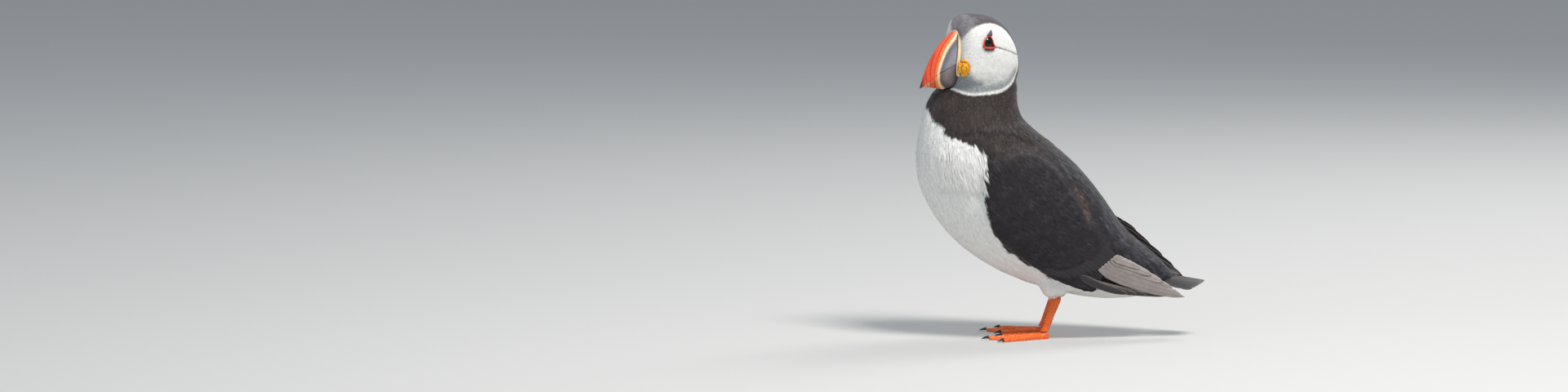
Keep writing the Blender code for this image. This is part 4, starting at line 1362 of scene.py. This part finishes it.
def face_fit(side):
    """A smooth sheet fitted to the face round the eye, leaving out the bulge of the eye itself."""
    toward = Vector(HEAD_TURN @ np.array((-side, 0.0, 0.0)))
    rows, stands = [], []
    for back in np.arange(-8.0, 8.1, 1.0):
        for up in np.arange(-9.0, 10.1, 1.0):
            if math.hypot(back, up) > EYE_BULGE and abs(up) < 9.5 - 0.5 * abs(back):
                start = head_point(60.0 * side, EYE_SPOT[0] + back, EYE_SPOT[1] + up)
                spot = SKIN.tree.ray_cast(start, toward)[0]
                stands.append(head_place(np.array(spot)[None])[0, 0] * side)
                rows.append((1.0, back, up, back * back, back * up, up * up))
    return np.linalg.lstsq(np.array(rows), np.array(stands), rcond=None)[0]


FACE_SHEET = {side: face_fit(side) for side in (1.0, -1.0)}


def face_spot(side, back, up, proud):
    """A place on the face by the eye, told back and up from it, and which way the face faces."""
    fit = FACE_SHEET[side]
    stand = fit @ np.array((1.0, back, up, back * back, back * up, up * up))
    slope_back = fit[1] + 2 * fit[3] * back + fit[4] * up
    slope_up = fit[2] + fit[4] * back + 2 * fit[5] * up
    out = unit(HEAD_TURN @ np.array((side, -slope_back, -slope_up)))
    spot = np.array(head_point(side * stand, EYE_SPOT[0] + back, EYE_SPOT[1] + up)) / MM
    return spot + out * (proud + COAT_DEPTH[HEAD]), out


def round_about(corners, count):
    """A closed smooth curve through corners."""
    corners = np.array(corners, dtype=float)
    reach = smooth_rows(np.vstack((corners[-2:], corners, corners[:3])),
                        (len(corners) + 4) * 12 + 1)
    loop = reach[24:24 + len(corners) * 12]
    return loop[np.linspace(0, len(loop), count, endpoint=False).astype(int)]


def cushion(side, outline, steps):
    """A small raised plate on the face inside an outline, swelling by steps of size and height."""
    loop = round_about(outline, 40)
    middle = loop.mean(axis=0)
    rings = []
    for share, height in steps:
        rings.append([Vector(face_spot(side, *(middle + (point - middle) * share), height)[0] * MM)
                      for point in loop])
    return loft(rings)


# Round the eye, back and up from its middle, with the thickness of the rim there
LID_LOOP = ((0.9, 3.4, 0.36), (2.4, 2.6, 0.34), (3.4, 0.8, 0.34), (4.0, -1.5, 0.45),
            (5.2, -4.0, 0.62), (2.9, -4.3, 0.8), (0.4, -4.3, 0.85), (-2.0, -4.0, 0.8),
            (-3.6, -3.3, 0.7), (-3.5, -1.4, 0.55), (-2.8, 0.8, 0.42), (-1.0, 2.7, 0.36))
UPPER_SPIKE = ((-0.9, 4.0), (0.3, 3.9), (1.9, 3.8), (3.2, 3.4), (3.6, 4.9), (3.6, 7.1), (3.2, 7.5),
               (1.2, 6.0))
LOWER_BAR = ((-2.9, -5.0), (-1.0, -5.2), (1.4, -5.3), (3.7, -5.2), (4.9, -5.2), (4.3, -6.1),
             (1.5, -6.6), (-1.7, -6.2))
BED_STEPS = ((1.0, -0.9), (1.0, -0.15), (0.9, -0.1), (0.6, -0.1), (0.3, -0.1), (0.05, -0.1))
PLATE_STEPS = ((0.8, -0.6), (1.0, -0.2), (0.98, 0.15), (0.88, 0.42), (0.65, 0.58), (0.35, 0.66),
               (0.08, 0.7))


def lid_relief(points, normals):
    """Small wrinkles round the lids, with painted shade in their hollows."""
    creases = waves(points, 1.1, 33)
    return 0.03 * creases, blend_step(0.2, 1.1, -creases) * 0.5


def add_lids(word, side):
    """The red rim of the eye and the two horny plates above and below it."""
    loop = round_about(LID_LOOP, 96)
    spots = [face_spot(side, back, up, 0.32) for back, up, _ in loop]
    rim = tube([spot for spot, _ in spots], [out for _, out in spots], 12, loop[:, 2], 0.95, True)
    add_piece("eye_rim_" + word, finished(rim, lid_relief), RING, ("eye_ring_" + word,))
    bed = cushion(side, [corner[:2] for corner in LID_LOOP], BED_STEPS)
    add_piece("eye_bed_" + word, finished(bed, lid_relief), BED)
    for part, outline in (("upper", UPPER_SPIKE), ("lower", LOWER_BAR)):
        plate = cushion(side, outline, PLATE_STEPS)
        add_piece("eye_plate_%s_%s_horn" % (part, word), finished(plate, lid_relief), PLATE,
                  ("eye_plate_%s_%s" % (part, word),))


# The gape's fold: lobes as paths forward and up from its middle, with how thick each is
FOLD_LOBES = (
    ((1.2, 4.9, 0.8), (-0.9, 5.1, 1.0), (-2.6, 3.4, 1.15), (-3.0, 0.2, 1.2), (-2.7, -2.9, 1.15),
     (-1.4, -4.9, 1.0), (0.8, -5.3, 0.9)),
    ((-0.2, 3.4, 0.8), (-1.1, 1.6, 0.95), (-0.7, -0.6, 1.0), (-1.0, -3.1, 0.85)),
    ((1.0, 2.9, 0.75), (0.7, 0.9, 0.85), (1.0, -1.2, 0.85), (0.7, -3.6, 0.75)),
    ((2.2, 4.4, 0.7), (2.5, 2.2, 0.85), (2.2, -0.4, 0.9), (2.4, -2.8, 0.85), (2.5, -4.8, 0.7)),
)
# The padding that fills the fold behind its lobes, and how far in it lies
FOLD_BASE = ((0.0, 3.8, 1.7), (0.0, 1.8, 2.1), (0.0, -1.0, 2.2), (0.6, -3.9, 1.7))
FOLD_SUNK = 1.5
FOLD_STEP = 2.0                                  # between two creases of the fold


def fold_stand(back, up):
    """How far from the head's middle the gape's lobes lie, back and up from their own middle."""
    return ROSETTE_STAND + 0.7 * back - 0.06 * back ** 2 - 0.03 * up ** 2


def add_fold(word, side):
    """The crinkled yellow skin at the corner of the gape: thick lobes with creases between."""
    core = evened(merged_copy(("gape_rosette_" + word,), -0.45), 0.3, 4)
    whole = bmesh.new()
    whole.from_mesh(core)
    bpy.data.meshes.remove(core)
    for lobe in (FOLD_BASE,) + FOLD_LOBES:
        row = smooth_rows(lobe, 26)
        sunk = FOLD_SUNK if lobe is FOLD_BASE else 0.0
        path = np.array([head_point(side * (fold_stand(-forward, up) - sunk), ROSETTE_SPOT[0] - forward,
                                    ROSETTE_SPOT[1] + up) for forward, up, _ in row]) / MM
        out = HEAD_TURN @ np.array((side, -0.7, 0.0))
        part = tube(path, np.tile(out, (len(path), 1)), 12, row[:, 2], 1.0)
        take_in(whole, part)
    mesh = evened(mesh_of(whole, "joined"), 0.2, 3)
    points, normals = places_of(mesh), normals_of(mesh)
    local = head_place(points)
    hollow = fold_stand(local[:, 1] - ROSETTE_SPOT[0], local[:, 2] - ROSETTE_SPOT[1]) + 0.4 \
        - np.abs(local[:, 0])
    forward, up = ROSETTE_SPOT[0] - local[:, 1], local[:, 2] - ROSETTE_SPOT[1]
    ribs = waves(points * np.array((1.0, 0.6, 1.6)), 2.2, 37)
    fold = np.abs(np.sin((forward + 0.5 + 0.35 * waves(points, 4.0, 38)) * math.pi / FOLD_STEP))
    crease = blend_step(0.55, 0.05, fold) * blend_step(5.0, 3.4, np.hypot(1.3 * forward, up))
    set_places(mesh, points + normals * (0.06 * ribs - 0.32 * crease)[:, None] * MM)
    # painted shade: darker in the hollow behind the lobes, between the ribs and in the creases
    painted_fold_shade = blend_step(0.1, 1.1, hollow) * 0.8 + blend_step(0.3, 1.0, -ribs) * 0.25 + crease * 0.9
    set_values(mesh, "depth", np.clip(painted_fold_shade, 0, 1))
    add_piece("gape_fold_" + word, mesh, ROSETTE, ("gape_rosette_" + word,))


add_cere()
for word, side in SIDES:
    add_lids(word, side)
    add_fold(word, side)


# ---------------------------------------------------------------- the eyes

def eye_finish():
    """A wet dark eye: black pupil in a deep brown iris."""
    finish = Finish("eye", 0.07, 2500.0, 0.12, 0.005, Coat_Weight=0.1, Coat_Roughness=0.03,
                    Specular_IOR_Level=0.35)
    colour = finish.ramp(finish.field("gaze").outputs["Fac"],
                         ((0.0, "040404"), (0.5, "050404"), (0.58, "1f1512"), (0.85, "1a110e"),
                          (1.0, "0a0606")))
    finish.colour(colour)
    return finish.material


EYE = eye_finish()
EYE_SIZE = np.array((3.8, 4.4, 5.0))             # half sizes: depth, along, above
EYE_PROUD = 1.1                                  # its front stands this far beyond the rim's middle
IRIS_RIM = math.radians(46.0)                    # how far round from the eye's front the iris reaches
for word, side in SIDES:
    spots = [face_spot(side, back, up, 0.0) for back, up, _ in LID_LOOP]
    outward = unit(np.mean([out for _, out in spots], axis=0))
    front = np.mean([spot for spot, _ in spots], axis=0) + outward * EYE_PROUD
    middle = front - outward * EYE_SIZE[0]
    ball = bmesh.new()
    gaze_layer = ball.verts.layers.float.new("gaze")
    bmesh.ops.create_uvsphere(ball, u_segments=64, v_segments=48, radius=1.0)
    upward = HEAD_TURN @ np.array((0.0, 0.0, 1.0))
    upward = unit(upward - outward * outward.dot(upward))
    aside = np.cross(outward, upward)
    for vertex in ball.verts:
        tilt = vertex.co.angle(Vector((0.0, 0.0, 1.0)))
        vertex[gaze_layer] = min(tilt / IRIS_RIM, 1.0)
        depth, along, above = vertex.co.z, vertex.co.x, vertex.co.y
        depth *= 1 + 0.03 * math.exp(-(tilt / 0.4) ** 2)
        place = outward * depth * EYE_SIZE[0] + aside * along * EYE_SIZE[1] + upward * above * EYE_SIZE[2]
        vertex.co = Vector((middle + place) * MM)
    bmesh.ops.recalc_face_normals(ball, faces=ball.faces)
    add_piece("eyeball_" + word, mesh_of(ball, "eye"), EYE, ("eye_" + word,))


# ---------------------------------------------------------------- legs and feet

SCALE_BAND = 2.1                                 # height of one band of scales


def shank_relief(points, normals):
    """Bands of scales down the front of the shank, small ones behind, with painted shade between them."""
    height = points[:, 2] / MM
    front = blend_step(0.2, -0.4, normals[:, 1])
    bands = np.abs(np.sin(height * 2 * math.pi / (2 * SCALE_BAND)))
    grain = waves(points, 1.6, 41)
    rise = 0.16 * bands * front + 0.10 * grain * (1 - front)
    return rise, (1 - bands) ** 3 * front * 0.9 + blend_step(0.3, 1.1, -grain) * 0.5 * (1 - front)


def foot_relief(points, normals):
    """Scaled toes and a finely creased web, with painted shade where the grain sinks."""
    grain = waves(points, 1.5, 43)
    creases = waves(points * np.array((1.0, 0.35, 1.0)), 2.4, 44)
    top = blend_step(0.1, 0.6, normals[:, 2])
    flat = points[:, 2] / MM > 0.5
    return (0.08 * grain + 0.10 * creases * top) * flat, blend_step(0.2, 1.1, -grain) * 0.6


def claw_relief(points, normals):
    """Nearly smooth horn."""
    grain = waves(points, 2.0, 47)
    return 0.02 * grain, blend_step(0.0, 1.0, grain) * 0.6


for word, _ in SIDES:
    shaped("shank_" + word, "tarsus_" + word, 0.4, 4, shank_relief, LEG)
    shaped("web_foot_" + word, "foot_" + word, 0.42, 3, foot_relief, LEG)
    for toe in ("inner", "middle", "outer"):
        shaped("nail_%s_%s" % (toe, word), "claw_%s_%s" % (toe, word), 0.22, 3, claw_relief,
               CLAW)


# ---------------------------------------------------------------- floor, light and camera

def add_stage():
    """A wide pale floor."""
    bm = bmesh.new()
    bmesh.ops.create_grid(bm, x_segments=4, y_segments=4, size=14.0)
    mesh = mesh_of(bm, "floor")
    floor = put_in_scene("floor", mesh)
    plain = bpy.data.materials.new("floor")
    plain.use_nodes = True
    shader = plain.node_tree.nodes["Principled BSDF"]
    shader.inputs["Base Color"].default_value = (0.58, 0.58, 0.57, 1.0)
    shader.inputs["Roughness"].default_value = 0.9
    mesh.materials.append(plain)


def aim_at(holder, place, aim):
    """Sets a light or the camera in its place, looking at a point."""
    holder.location = place
    holder.rotation_euler = (Vector(aim) - Vector(place)).to_track_quat("-Z", "Y").to_euler()


def add_light(name, place, aim, size, power, colour):
    """A soft square light aimed at a point."""
    lamp = bpy.data.lights.new(name, "AREA")
    lamp.size = size
    lamp.energy = power
    lamp.color = colour
    aim_at(put_in_scene(name, lamp), place, aim)


CAMERA_RISE = math.radians(5.0)
CAMERA_TOWARD = Vector((math.cos(CAMERA_RISE), 0.0, math.sin(CAMERA_RISE)))
CAMERA_AWAY = 5.0
CAMERA_AIM = Vector((0.0, -0.192, 0.098))


def add_camera():
    """A long lens level with the bird, looking past its front so that it stands to the right."""
    lens = bpy.data.cameras.new("camera")
    lens.sensor_width = 36.0
    lens.lens = 164.5
    lens.clip_end = 60.0
    holder = put_in_scene("camera", lens)
    aim_at(holder, CAMERA_AIM + CAMERA_TOWARD * CAMERA_AWAY, CAMERA_AIM)
    bpy.context.scene.camera = holder


add_stage()
MIDDLE = (0.0, -0.01, 0.12)
add_light("key", (1.0, 0.6, 2.0), MIDDLE, 0.7, 50.0, (1.0, 0.97, 0.92))
add_light("fill", (1.6, -1.6, 0.7), MIDDLE, 1.6, 5.0, (0.80, 0.92, 1.0))
add_light("rim", (-1.3, 0.9, 1.5), MIDDLE, 0.9, 16.0, (1.0, 0.98, 0.95))
world = bpy.data.worlds.new("sky")
world.use_nodes = True
world.node_tree.nodes["Background"].inputs["Color"].default_value = (0.78, 0.85, 0.95, 1.0)
world.node_tree.nodes["Background"].inputs["Strength"].default_value = 0.45
bpy.context.scene.world = world
bpy.context.scene.view_settings.view_transform = "Standard"
add_camera()
